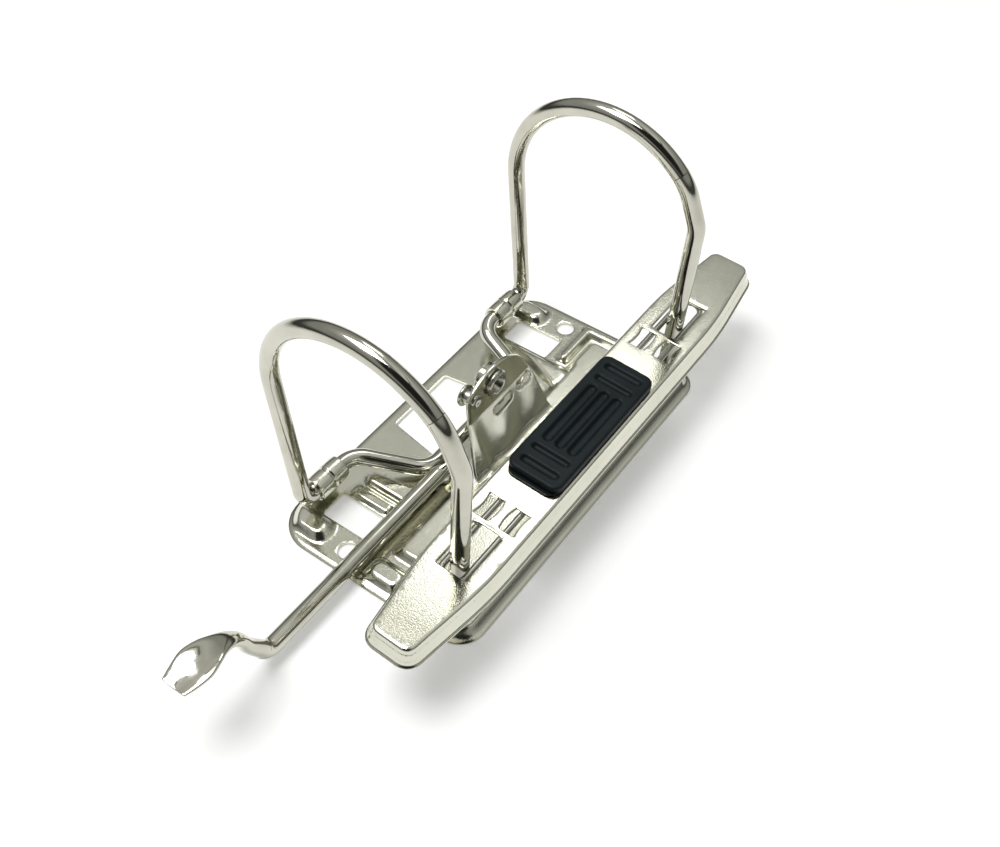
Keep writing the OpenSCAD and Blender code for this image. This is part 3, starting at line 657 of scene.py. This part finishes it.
def round_hole(x, y, r, count=40):
    return [(x + r * cos(-2 * pi * k / count), y + r * sin(-2 * pi * k / count))
            for k in range(count)]


def rounded_box(x, y, length, width, r, clockwise=False, count=10):
    """A rectangle with round corners about a middle."""
    points = []
    for quarter, (sx, sy) in enumerate(((1, 1), (-1, 1), (-1, -1), (1, -1))):
        for k in range(count + 1):
            a = pi / 2 * (quarter + k / count)
            points.append((x + sx * (length / 2 - r) + r * cos(a),
                           y + sy * (width / 2 - r) + r * sin(a)))
    return points[::-1] if clockwise else points


def shifted(loop, inset):
    """The outline moved towards its left side by inset."""
    result = []
    for a, b, c in neighbours(loop):
        d0, d1 = (b - a).normalized(), (c - b).normalized()
        n0, n1 = Vector((-d0.y, d0.x)), Vector((-d1.y, d1.x))
        move = (n0 + n1) / max(1 + n0.dot(n1), 0.35) * inset
        result.append((b.x + move.x, b.y + move.y))
    return result


def inside(points, loops):
    """Which points lie within the outlines, by the even-odd rule."""
    x, y = points[:, 0], points[:, 1]
    found = np.zeros(len(points), bool)
    for loop in loops:
        for (x0, y0), (x1, y1) in zip(loop, loop[1:] + loop[:1]):
            if y0 != y1:
                found ^= ((y0 > y) != (y1 > y)) & (x < (x1 - x0) * (y - y0) / (y1 - y0) + x0)
    return found


def kept(points, loops, distance):
    """The points within the outlines, at least distance from the outlines' points."""
    points = points[inside(points, loops)]
    border = np.array([p for loop in loops for p in loop])
    clear = np.ones(len(points), bool)
    for start in range(0, len(border), 200):
        part = border[start:start + 200]
        gap = np.hypot(points[:, None, 0] - part[None, :, 0], points[:, None, 1] - part[None, :, 1])
        clear &= gap.min(axis=1) > distance
    return points[clear]


def grid(x0, x1, y0, y1, step):
    xs = np.arange(x0, x1 + step / 2, step)
    ys = np.arange(y0, y1 + step / 2, step)
    return np.array([(x, y) for x in xs for y in ys])


class Shell:
    """Collects the points and faces of one piece, in millimetres."""

    def __init__(self):
        self.verts, self.faces = [], []

    def add(self, points):
        start = len(self.verts)
        self.verts += [tuple(p) for p in points]
        return list(range(start, len(self.verts)))

    def level(self, loop, z):
        return self.add((x, y, z) for x, y in loop)

    def bands(self, rings):
        """Joins closed loops of points, one to the next. Their left side holds the material."""
        for upper, lower in zip(rings, rings[1:]):
            for i in range(len(upper)):
                n = (i + 1) % len(upper)
                self.faces.append((upper[i], lower[i], lower[n], upper[n]))

    def object(self, name):
        return weighted(finish_mesh(name, self.verts, self.faces))


def weighted(obj):
    """Normals that follow the larger faces."""
    modifier = obj.modifiers.new("normals", "WEIGHTED_NORMAL")
    modifier.keep_sharp = True
    bpy.context.view_layer.update()
    ready = obj.evaluated_get(bpy.context.evaluated_depsgraph_get())
    final = bpy.data.meshes.new_from_object(ready)
    obj.modifiers.clear()
    obj.data = final
    return obj


def triangles(loops, inner):
    """Triangles over the outlines' region. Points are the loops' points, then inner."""
    points = [p for loop in loops for p in loop]
    edges, start = [], 0
    for loop in loops:
        count = len(loop)
        edges += [(start + i, start + (i + 1) % count) for i in range(count)]
        start += count
    points += [tuple(p) for p in inner]
    out, _, faces, origin, _, _ = delaunay_2d_cdt([Vector(p) for p in points], edges, [], 0, 1e-6)
    flat = np.array([(v.x, v.y) for v in out])
    corners = np.array([f for f in faces if len(f) == 3])
    corners = corners[inside(flat[corners].mean(axis=1), loops)]
    names = [o[0] if o else -1 for o in origin]
    result = []
    for a, b, c in corners:
        ids = (names[a], names[b], names[c])
        if -1 in ids or len(set(ids)) < 3:
            continue
        area = ((flat[b][0] - flat[a][0]) * (flat[c][1] - flat[a][1])
                - (flat[c][0] - flat[a][0]) * (flat[b][1] - flat[a][1]))
        result.append(ids if area > 0 else ids[::-1])
    return points, result


def pressed(shell, loops, inner, lift, thickness, edge=0.12):
    """A sheet whose cut edges are rounded. The outer loop turns left and the holes turn
    right; lift gives the place of (u, v) at a depth under the sheet's face."""
    tops = [shifted(loop, edge) for loop in loops]
    inner = kept(inner, tops, edge * 2)
    points, faces = triangles(tops, inner)
    upper = shell.add([lift(u, v, 0.0) for u, v in points])
    lower = shell.add([lift(u, v, thickness) for u, v in points])
    shell.faces += [tuple(upper[i] for i in f) for f in faces]
    shell.faces += [tuple(lower[i] for i in f[::-1]) for f in faces]
    start, small = 0, edge * 0.3
    for loop in loops:
        end = start + len(loop)
        rings = [upper[start:end]]
        for inset, depth in ((small, small), (0, edge), (0, thickness - edge),
                             (small, thickness - small)):
            ring = shifted(loop, inset) if inset else loop
            rings.append(shell.add([lift(u, v, depth) for u, v in ring]))
        shell.bands(rings + [lower[start:end]])
        start = end


# ---------- base plate ----------

def eased(t, w=0.3):
    """A ramp from 0 to 1 whose two ends are rounded over w on each side."""
    low = np.clip(t + w, 0, 2 * w)
    high = np.clip(1 + w - t, 0, 2 * w)
    rise = np.where(t < w, low * low / (4 * w), t)
    return np.where(t < 1 - w, rise, 1 - high * high / (4 * w))


def soft_min(a, b, k):
    """The lesser of a and b, blended where they differ by less than k."""
    h = np.clip(k - np.abs(a - b), 0, None) / k
    return np.minimum(a, b) - h * h * k / 4


def bank(x, y, outline, run, corner):
    """How far up its sloping side a point of a convex bank is: 0 at the foot, 1 on top."""
    depth = None
    for (ax, ay), (bx, by) in zip(outline, outline[1:] + outline[:1]):
        size = hypot(bx - ax, by - ay)
        d = ((bx - ax) * (y - ay) - (by - ay) * (x - ax)) / size
        depth = d if depth is None else soft_min(depth, d, corner)
    return depth / run


def box_bank(x, y, x0, x1, y0, y1, run, corner=2.0):
    return bank(x, y, [(x0, y0), (x1, y0), (x1, y1), (x0, y1)], run, corner)


def rim_depth(x, y):
    """Distance in from the plate's edge."""
    corner = np.where(y > PLATE_MID, PLATE_R, PLATE_NEAR_R)
    qx = np.abs(x) - (PLATE_LEN / 2 - corner)
    qy = np.abs(y - PLATE_MID) - (PLATE_WID / 2 - corner)
    return corner - np.hypot(np.clip(qx, 0, None), np.clip(qy, 0, None)) - np.clip(
        np.maximum(qx, qy), None, 0)


def plate_height(x, y):
    """Height of the embossing over the flat sheet."""
    edge = PLATE_FAR + 3
    s, half = SLOPE, SLOPE / 2
    ups = [box_bank(x, y, -PANEL_X, PANEL_X, -edge, PANEL_Y, s),
           box_bank(x, y, -BLOCK_X, -38.4, BLOCK_Y, 4.4, s),
           bank(x, y, RIB, half, 1.6),
           box_bank(x, y, PANEL_X - 6, GROOVE_X - 0.5, BLOCK_Y - 1, PANEL_Y, half, 1.5),
           bank(x, y, WEDGE, s, 1.5),
           box_bank(x, y, GROOVE_X + 0.5, BLOCK_X, BLOCK_Y, 6.6, half, 1.2),
           box_bank(x, y, WINDOW_IN + 0.6, BLOCK_X, GROOVE_Y + 0.5, 6.6, half, 1.2)]
    for side in (-1, 1):
        ups.append(box_bank(side * x, y, PANEL_X - 4, PLATE_LEN, -edge, -14.4, s))
        ups.append(box_bank(side * x, y, 37.4, BOSS_X, BOSS_Y, edge, s, 3.0))
    up = ups[0]
    for other in ups[1:]:
        up = -soft_min(-up, -other, 0.5)
    up = soft_min(up, (rim_depth(x, y) - RIM_FLAT) / s, 0.5)
    ledge = box_bank(x, y, 0.4 - WINDOW_IN, -26.2, 9.6, 20.6, half, 1.0)
    return np.maximum(EMBOSS_H * eased(up), EMBOSS_H / 2 * eased(ledge))


def plate_outline():
    far = rounded_box(0, PLATE_MID, PLATE_LEN, PLATE_WID, PLATE_R, False, 22)
    near = rounded_box(0, PLATE_MID, PLATE_LEN, PLATE_WID, PLATE_NEAR_R, False, 16)
    return [p for p in far if p[1] > PLATE_MID] + [p for p in near if p[1] < PLATE_MID]


def plate_sheet(shell):
    outer = spaced(plate_outline(), 0.7)
    opening = softened(OPENING, 0.6)
    windows = [rounded_box(side * WINDOW_X, WINDOW_Y, WINDOW_LEN, WINDOW_WID, 0.7, True, 5)
               for side in (-1, 1)]
    holes = [round_hole(sx * HOLE_X, sy * HOLE_Y, HOLE_R) for sx in (-1, 1) for sy in (-1, 1)]
    loops = [outer, spaced(opening, 0.7)] + [spaced(w, 0.6) for w in windows] + holes
    step = PLATE_STEP
    cells = grid(-PLATE_LEN / 2, PLATE_LEN / 2, -PLATE_NEAR, PLATE_FAR, step)
    x, y = cells.T
    around = [plate_height(x + dx, y + dy)
              for dx, dy in ((0, 0), (step, 0), (-step, 0), (0, step), (0, -step))]
    uneven = np.ptp(np.array(around), axis=0) > 1e-4
    i = np.rint((x + PLATE_LEN / 2) / step).astype(int)
    j = np.rint((y + PLATE_NEAR) / step).astype(int)
    cells = cells[(uneven | ((i % 4 == 0) & (j % 4 == 0))) & (rim_depth(x, y) > 3.4)]
    rims = []
    for inset in RIM_LINES:
        rims += shifted(outer, inset)
    known = {}

    def lift(u, v, d):
        if (u, v) not in known:
            up = float(plate_height(np.array([u]), np.array([v]))[0])
            roll = RIM_ROLL * max(0.0, 1 - float(rim_depth(u, v)) / RIM_RUN) ** 2
            known[u, v] = SHEET_T + up - roll, 1 - roll / SHEET_T
        z, share = known[u, v]
        return (u, v, z - d * share)

    pressed(shell, loops, np.concatenate([cells, np.array(rims)]), lift, SHEET_T)


class Path:
    """A path in a plane, of straight runs and arcs, measured along its length."""

    def __init__(self, start, heading, runs):
        y, z = start
        s, a = 0.0, radians(heading)
        rows = [(s, y, z, a)]
        for run, turn, radius in runs:
            if run > 0:
                s, y, z = s + run, y + run * cos(a), z + run * sin(a)
                rows.append((s, y, z, a))
            if turn:
                side = math.copysign(1, turn)
                steps = max(3, int(abs(turn) / 5))
                cy, cz = y - side * radius * sin(a), z + side * radius * cos(a)
                for k in range(1, steps + 1):
                    b = a + radians(turn) * k / steps
                    y, z = cy + side * radius * sin(b), cz - side * radius * cos(b)
                    s += radius * abs(radians(turn)) / steps
                    rows.append((s, y, z, b))
                a = b
        self.s, self.y, self.z, self.a = (list(column) for column in zip(*rows))

    def at(self, s, depth):
        """The place at length s, depth to the left of the heading."""
        y, z, a = (float(np.interp(s, self.s, c)) for c in (self.y, self.z, self.a))
        return y - depth * sin(a), z + depth * cos(a)


def riser_path():
    rise = math.degrees(math.atan2(FOLD_Z, LUG_Y - FOOT_Y))
    top = SHEET_T + EMBOSS_H - 0.02
    corner_y = FOOT_Y + top / math.tan(radians(rise))
    reach = FOOT_BEND * math.tan(radians(rise / 2))
    lug_reach = LUG_BEND * math.tan(radians((90 - rise) / 2))
    slant = hypot(LUG_Y - corner_y, FOLD_Z - top) - reach - lug_reach
    start = (corner_y - reach - 1.6, top)
    return Path(start, 0, [(1.6, rise, FOOT_BEND), (slant, 90 - rise, LUG_BEND), (15, 0, 1)])


def dents(x, s):
    """The riser's wavy relief: soft hollows and swellings, (x, s, width, length, height)."""
    return sum(h * math.exp(-((x - a) / w) ** 2 - ((s - b) / l) ** 2)
               for a, b, w, l, h in RISER_DENTS)


def riser_sheet(shell):
    path = riser_path()

    def along(z):
        return float(np.interp(z, path.z[1:], path.s[1:]))

    low = SHEET_T + EMBOSS_H + 0.2
    share = low / FOLD_Z
    left_low = FOOT_LEFT + (LUG_LEFT - FOOT_LEFT) * share
    right_low = FOOT_RIGHT + (LUG_RIGHT - FOOT_RIGHT) * share
    arc_x, arc_z = PIVOT_X - 0.5, PIVOT_Z - 8
    left_top = arc_z + math.sqrt(LUG_R ** 2 - (LUG_LEFT - arc_x) ** 2)
    turns = [radians(CROWN_FROM + (CROWN_TO - CROWN_FROM) * k / 12) for k in range(13)]
    crown = [(arc_x + LUG_R * cos(a), along(arc_z + LUG_R * sin(a))) for a in turns]
    outline = ([(left_low - 0.3, 0.3), (right_low + 0.3, 0.3), (right_low, along(low)),
                (LUG_RIGHT, along(FOLD_Z - 1.2))] + crown
               + [(LUG_LEFT, along(left_top)), (LUG_LEFT, along(FOLD_Z)), (left_low, along(low))])
    loops = [spaced(softened(outline, 1.1), 0.5),
             round_hole(PIVOT_X, along(PIVOT_Z), EYELET_R + 0.02),
             round_hole(STUD_X, along(STUD_Z), STUD_R + 0.02, 28)]
    for x, length, drop in RISER_SLOTS:
        s = along(FOLD_Z - drop)
        rough = [(u + 0.13 * sin(7 * u + 3 * v), v + 0.12 * sin(5 * u - 2 * v))
                 for u, v in rounded_box(x, s, length, SLOT_H, SLOT_H / 2 - 0.01, True, 8)]
        loops.append(spaced(rough, 0.35))
    inner = grid(-13, 18, 0.5, path.s[-1], RISER_STEP)

    def lift(u, v, d):
        y, z = path.at(v, dents(u, v) - d)
        return (u, y, z)

    pressed(shell, loops, inner, lift, SHEET_T, RISER_EDGE)


def hoop_sheet(shell, side):
    """A strip of the plate that comes up behind the wire and wraps round it."""
    path = Path((HINGE_Y + HOOP_R, SHEET_T - 0.3), 90,
                [(HINGE_Z - SHEET_T + 0.3, HOOP_TURN, HOOP_R)])
    length, half, middle = path.s[-1], HOOP_LEN / 2, side * HOOP_X
    outline = [(-half, 0), (half, 0), (half, length), (-half, length)]
    xs = [-half + 0.4, -2.6, -1.4, -0.6, -0.4, -0.25, -0.1, 0.1, 0.25, 0.4, 0.6, 1.4, 2.6, half - 0.4]
    inner = np.array([(x, s) for x in xs for s in np.arange(0.4, length, RISER_STEP)])

    def lift(u, v, d):
        nick = 0.3 * math.exp(-(u / 0.3) ** 4)
        curl = 0.25 * max(0.0, abs(u) / half - 0.8) ** 2 * 12
        y, z = path.at(v, max(d, min(nick + curl, HOOP_T - 0.1)) if d < 0.3 else d)
        return (middle - u, y, z)

    pressed(shell, [spaced(outline, 0.45)], inner, lift, HOOP_T, RISER_EDGE)


def base_plate():
    shell = Shell()
    plate_sheet(shell)
    riser_sheet(shell)
    for side in (-1, 1):
        hoop_sheet(shell, side)
    return shell.object("base_plate_pressed")


# ---------- compressor bar ----------

def on_posts(obj):
    """Puts a piece drawn in the bar's frame on the leaning posts."""
    obj.data.transform(Matrix.Translation((BAR_X * MM, BAR_Y * MM, BAR_Z * MM))
                       @ Matrix.Rotation(BAR_LEAN, 4, "X"))
    return obj


def bar_outline():
    """The bar's outline, anticlockwise, with its tapered ends and rounded shoulders."""
    half, mid, tip = BAR_LEN / 2, BAR_WID / 2, BAR_END_WID / 2
    corner, shoulder = Vector((half, tip)), Vector((half - BAR_TAPER, mid))
    slant = (shoulder - corner).normalized()
    quarter = (curve(corner - Vector((0, BAR_CORNER)), corner, corner + slant * BAR_CORNER, 9)
               + curve(shoulder - slant * BAR_BEND, shoulder, shoulder - Vector((BAR_BEND, 0)), 9))
    back = quarter[::-1]
    points = (quarter + [(-x, y) for x, y in back] + [(-x, -y) for x, y in quarter]
              + [(x, -y) for x, y in back])
    return spaced(points, 0.9)


def clipped(outline, circle):
    """The points of an outline, moved along X to stay within a circle."""
    cx, cy, r = circle
    result = []
    for x, y in outline:
        if hypot(x - cx, y - cy) > r:
            x = cx + math.copysign(math.sqrt(r * r - (y - cy) ** 2), x - cx)
        result.append((x, y))
    return result


def thinned(outline, least):
    """An outline without points closer than least to the one before."""
    result = [outline[0]]
    for p in outline[1:]:
        if math.dist(p, result[-1]) >= least:
            result.append(p)
    return result


def bar_windows():
    """The windows of the bar's right half, clockwise."""
    x0, x1, y1 = SLOT_X - SLOT_LEN / 2, SLOT_X + SLOT_LEN / 2, SLOT_WID / 2
    big = spaced([(x0, -y1), (x0, y1), (x1, y1), (x1, -y1)], 0.35)
    big = softened(thinned(clipped(big, SLOT_ROUND), 0.2), 0.25, 0.3)
    half, mid = (SMALL_X1 - SMALL_X0) / 2, (SMALL_X0 + SMALL_X1) / 2
    bow = [(half * k / 8, SMALL_BOW - math.sqrt(SMALL_BOW ** 2 - (half * k / 8) ** 2))
           for k in range(-8, 9)]
    small = [(mid + u, SMALL_Y1 + v) for u, v in bow] + [(mid - u, SMALL_Y0 + v) for u, v in bow]
    small = softened(small, 0.7, 0.3)
    return [big, small, [(x, -y) for x, y in small[::-1]]]


def compressor_bar():
    shell = Shell()
    outline = bar_outline()
    windows = bar_windows()
    windows += [[(-x, y) for x, y in loop[::-1]] for loop in windows]
    windows += [rounded_box(x, 0, length, width, 2.79, True, 8) for x, length, width in FOOT_SLOTS]
    first = shifted(outline, -BAR_PROFILE[0][0])
    last = shifted(outline, -BAR_PROFILE[-1][0])
    tops = [shifted(w, BAR_EDGE) for w in windows]
    cells = grid(-BAR_LEN / 2, BAR_LEN / 2, -BAR_WID / 2, BAR_WID / 2, BAR_STEP)
    inner = kept(cells, [first] + tops, 0.5)
    points, faces = triangles([first] + tops, inner)
    upper = shell.level(points, 0)
    shell.faces += [tuple(upper[i] for i in f) for f in faces]
    under, under_faces = triangles([last] + tops, inner[inside(inner, [last])])
    lower = shell.level(under, -BAR_T)
    shell.faces += [tuple(lower[i] for i in f[::-1]) for f in under_faces]
    start = len(outline)
    skirt = [shell.level(shifted(outline, -grow), z) for grow, z in BAR_PROFILE[1:-1]]
    shell.bands([upper[:start]] + skirt + [lower[:start]])
    for loop in windows:
        end = start + len(loop)
        hole = [upper[start:end]]
        for inset, depth in ((0.62, 0.08), (0.3, 0.3), (0.08, 0.62), (0.0, 1.0)):
            ring = shifted(loop, BAR_EDGE * inset) if inset else loop
            hole.append(shell.level(ring, -BAR_EDGE * depth))
        shell.bands(hole + [shell.level(loop, 0.1 - BAR_T), lower[start:end]])
        start = end
    return on_posts(shell.object("compressor_bar_pressed"))


# ---------- thumb slide ----------

def groove_depth(x, y):
    """Depth of the pad's grooves at a place."""
    deepest = 0.0
    for gx, gy, length, width, upright in PAD_GROOVES:
        u, v = (y - gy, x - gx) if upright else (x - gx, y - gy)
        run = max(abs(u) - (length - width) / 2, 0)
        d = width / 2 - hypot(run, v)
        deepest = max(deepest, float(eased(np.array(d / 0.45), 0.35)) * GROOVE_T)
    return deepest


def thumb_slide():
    shell = Shell()
    outer = spaced(rounded_box(0, 0, GRIP_LEN, GRIP_WID, 2.2, False, 12), 0.6)
    rim = shifted(outer, 0.75)
    inner = grid(-GRIP_LEN / 2, GRIP_LEN / 2, -GRIP_WID / 2, GRIP_WID / 2, PAD_STEP)
    points, faces = triangles([rim], kept(inner, [rim], 0.2))
    upper = shell.add([(x, y, GRIP_TOP - groove_depth(x, y)) for x, y in points])
    shell.faces += [tuple(upper[i] for i in f) for f in faces]
    rings = [shell.level(shifted(outer, inset), GRIP_TOP + z) for inset, z in PAD_PROFILE]
    shell.bands([upper[:len(outer)]] + rings)
    shell.faces.append(tuple(rings[-1][::-1]))
    pad = shell.object("pad")
    pad.data.transform(Matrix.Translation(((PAD_X + GRIP_SHIFT) * MM, 0, 0)))
    on_posts(pad)
    up = Vector((0, -sin(BAR_LEAN), cos(BAR_LEAN)))
    cut = (Vector((0, BAR_Y, BAR_Z)) + up * (PAD_GAP + 0.4)) * MM
    feet = rounded_copy("thumb_slide", "feet", 0.12, 2, keep=(cut, up))
    return joined("thumb_slide_moulded", [pad, feet])


# ---------- rivets ----------

def turned_piece(name, x, z, profile, ring_shaped=False):
    """A turned piece about an axis along Y. profile is a list of (radius, y)."""
    rings, lengths = lathe(profile, lambda u, v, y: (x + v, y, z + u))
    if ring_shaped:
        rings.append(rings[0])
        lengths.append(lengths[-1] + 0.1)
    piece = skin(name, rings, lengths, not ring_shaped)
    sharpen(piece, 50)
    return weighted(piece)


def pivot_eyelet():
    """A tube whose two ends are rolled outwards: half a profile, towards the front."""
    front, back = LUG_Y, ARM_Y + ARM_T + 0.1
    rim = [(EYELET_R, 0), (FLANGE_R - 0.25, 0), (FLANGE_R - 0.08, 0.2), (FLANGE_R, 0.5),
           (FLANGE_R - 0.08, 0.8), (FLANGE_R - 0.3, 1.05), (FLANGE_R - 0.62, FLANGE_T),
           (FLANGE_R - 0.95, 1.15), (FLANGE_R - 1.2, 0.9), (FLANGE_R - 1.35, 0.45),
           (FLANGE_R - 1.55, 0.0), (EYELET_BORE + 0.1, -0.5), (EYELET_BORE, -0.9)]
    profile = ([(r, front - d) for r, d in rim]
               + [(r, back + d * BACK_RIM / FLANGE_T) for r, d in rim[::-1]])
    return turned_piece("pivot_eyelet_rolled", PIVOT_X, PIVOT_Z, profile, True)


def stop_stud():
    """A riveted end, dished by its punch, and a round head behind the lug."""
    front, behind = LUG_Y, LUG_Y + SHEET_T
    dish = ((0, 0.05), (0.55, 0), (0.95, -0.22), (1.25, -0.42), (1.5, -0.48), (1.7, -0.4),
            (1.8, -0.22), (1.8, 0), (STUD_R, 0))
    neck = ((STUD_R, 0), (1.7, 0), (1.7, 1.9))
    head = ((0.15, 1.92), (0, 2.1), (0, 2.45), (0.15, 2.65), (0.5, 2.82), (1.2, 2.88),
            (STUD_HEAD_R, 2.9))
    profile = ([(r, front + d) for r, d in dish] + [(r, behind + d) for r, d in neck]
               + [(STUD_HEAD_R - r, behind + d) for r, d in head])
    return turned_piece("stop_stud_headed", STUD_X, STUD_Z, profile)


# ---------- stage ----------

def stage():
    bpy.ops.mesh.primitive_plane_add(size=FLOOR_SIZE, location=(0, 0, FLOOR_Z))
    floor = bpy.context.object
    floor.name = "floor"
    floor.data.materials.append(floor_material())


def area_light(name, at, side, power):
    data = bpy.data.lights.new(name, "AREA")
    data.shape = "RECTANGLE"
    data.size = data.size_y = side
    data.energy = power
    obj = linked(name, data)
    obj.location = at
    aim = Vector(LAMP_TARGET) - Vector(at)
    obj.rotation_euler = aim.to_track_quat("-Z", "Y").to_euler()


def world():
    """A pale room with a dark rim at the horizon and a dark side behind the camera."""
    room = bpy.data.worlds.new("room")
    bpy.context.scene.world = room
    room.use_nodes = True
    tree = room.node_tree
    view = add(tree, "ShaderNodeTexCoord", {}, "Generated")
    sky = ramp(tree, add(tree, "ShaderNodeSeparateXYZ", {0: view}, "Z"), SKY)
    side = add(tree, "ShaderNodeVectorMath", {0: view, 1: DARK_SIDE}, "Value",
               operation="DOT_PRODUCT")
    amount = ramp(tree, side, ((DARK_FROM, (0, 0, 0)), (DARK_FULL, (1, 1, 1))))
    mixed = add(tree, "ShaderNodeMix", {"Factor": amount, "A": sky, "B": DARK_COLOUR}, "Result",
                data_type="RGBA")
    feed(tree, tree.nodes["Background"], {"Color": mixed, "Strength": 1.0})


def camera():
    data = bpy.data.cameras.new("camera")
    data.sensor_width = CAMERA_SENSOR
    data.lens = CAMERA_LENS
    data.clip_start = 0.005
    obj = linked("camera", data)
    aim = (Vector(CAMERA_TARGET) - Vector(CAMERA_AT)).to_track_quat("-Z", "Y").to_matrix().to_4x4()
    roll = rotation(CAMERA_ROLL, "Z")
    obj.matrix_world = Matrix.Translation(CAMERA_AT) @ aim @ roll
    bpy.context.scene.camera = obj


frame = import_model()

camera()
stage()
world()
for lamp, (at, side, power) in LAMPS.items():
    area_light(lamp, at, side, power)

BRIGHT = bright_nickel()
BRIGHT_SHEET = bright_nickel("bright_nickel_sheet", streaks=False)
SATIN = satin_nickel()
RIVET = rivet_steel()
SPRING = spring_steel()
PLASTIC = black_plastic()

place(arch_wire(), "arch", "arch_wire", BRIGHT, "bright_nickel")
place(post(-1), "base", "post_left", BRIGHT, "bright_nickel")
place(post(1), "base", "post_right", BRIGHT, "bright_nickel")
place(lever(), "lever_arm", "lever", None, "bright_nickel")
place(base_plate(), "base", "base_plate", SATIN, "satin_nickel")
place(compressor_bar(), "bar", "compressor_bar", SATIN, "satin_nickel")
place(thumb_slide(), "slide", "thumb_slide", PLASTIC, "black_plastic")
place(pivot_eyelet(), "base", "pivot_eyelet", RIVET, "rivet_steel")
place(stop_stud(), "base", "stop_stud", RIVET, "rivet_steel")
for node, body in (("roller_pin", "lever_arm"), ("roller", "press_roller")):
    place(rounded_copy(node, node + "_headed", 0.12), body, node, RIVET, "rivet_steel")
place(rounded_copy("lock_spring", "lock_spring_drawn", 0.02, 1, 60), "bar", "lock_spring", SPRING,
      "spring_steel")

bpy.context.scene.view_settings.view_transform = "Standard"
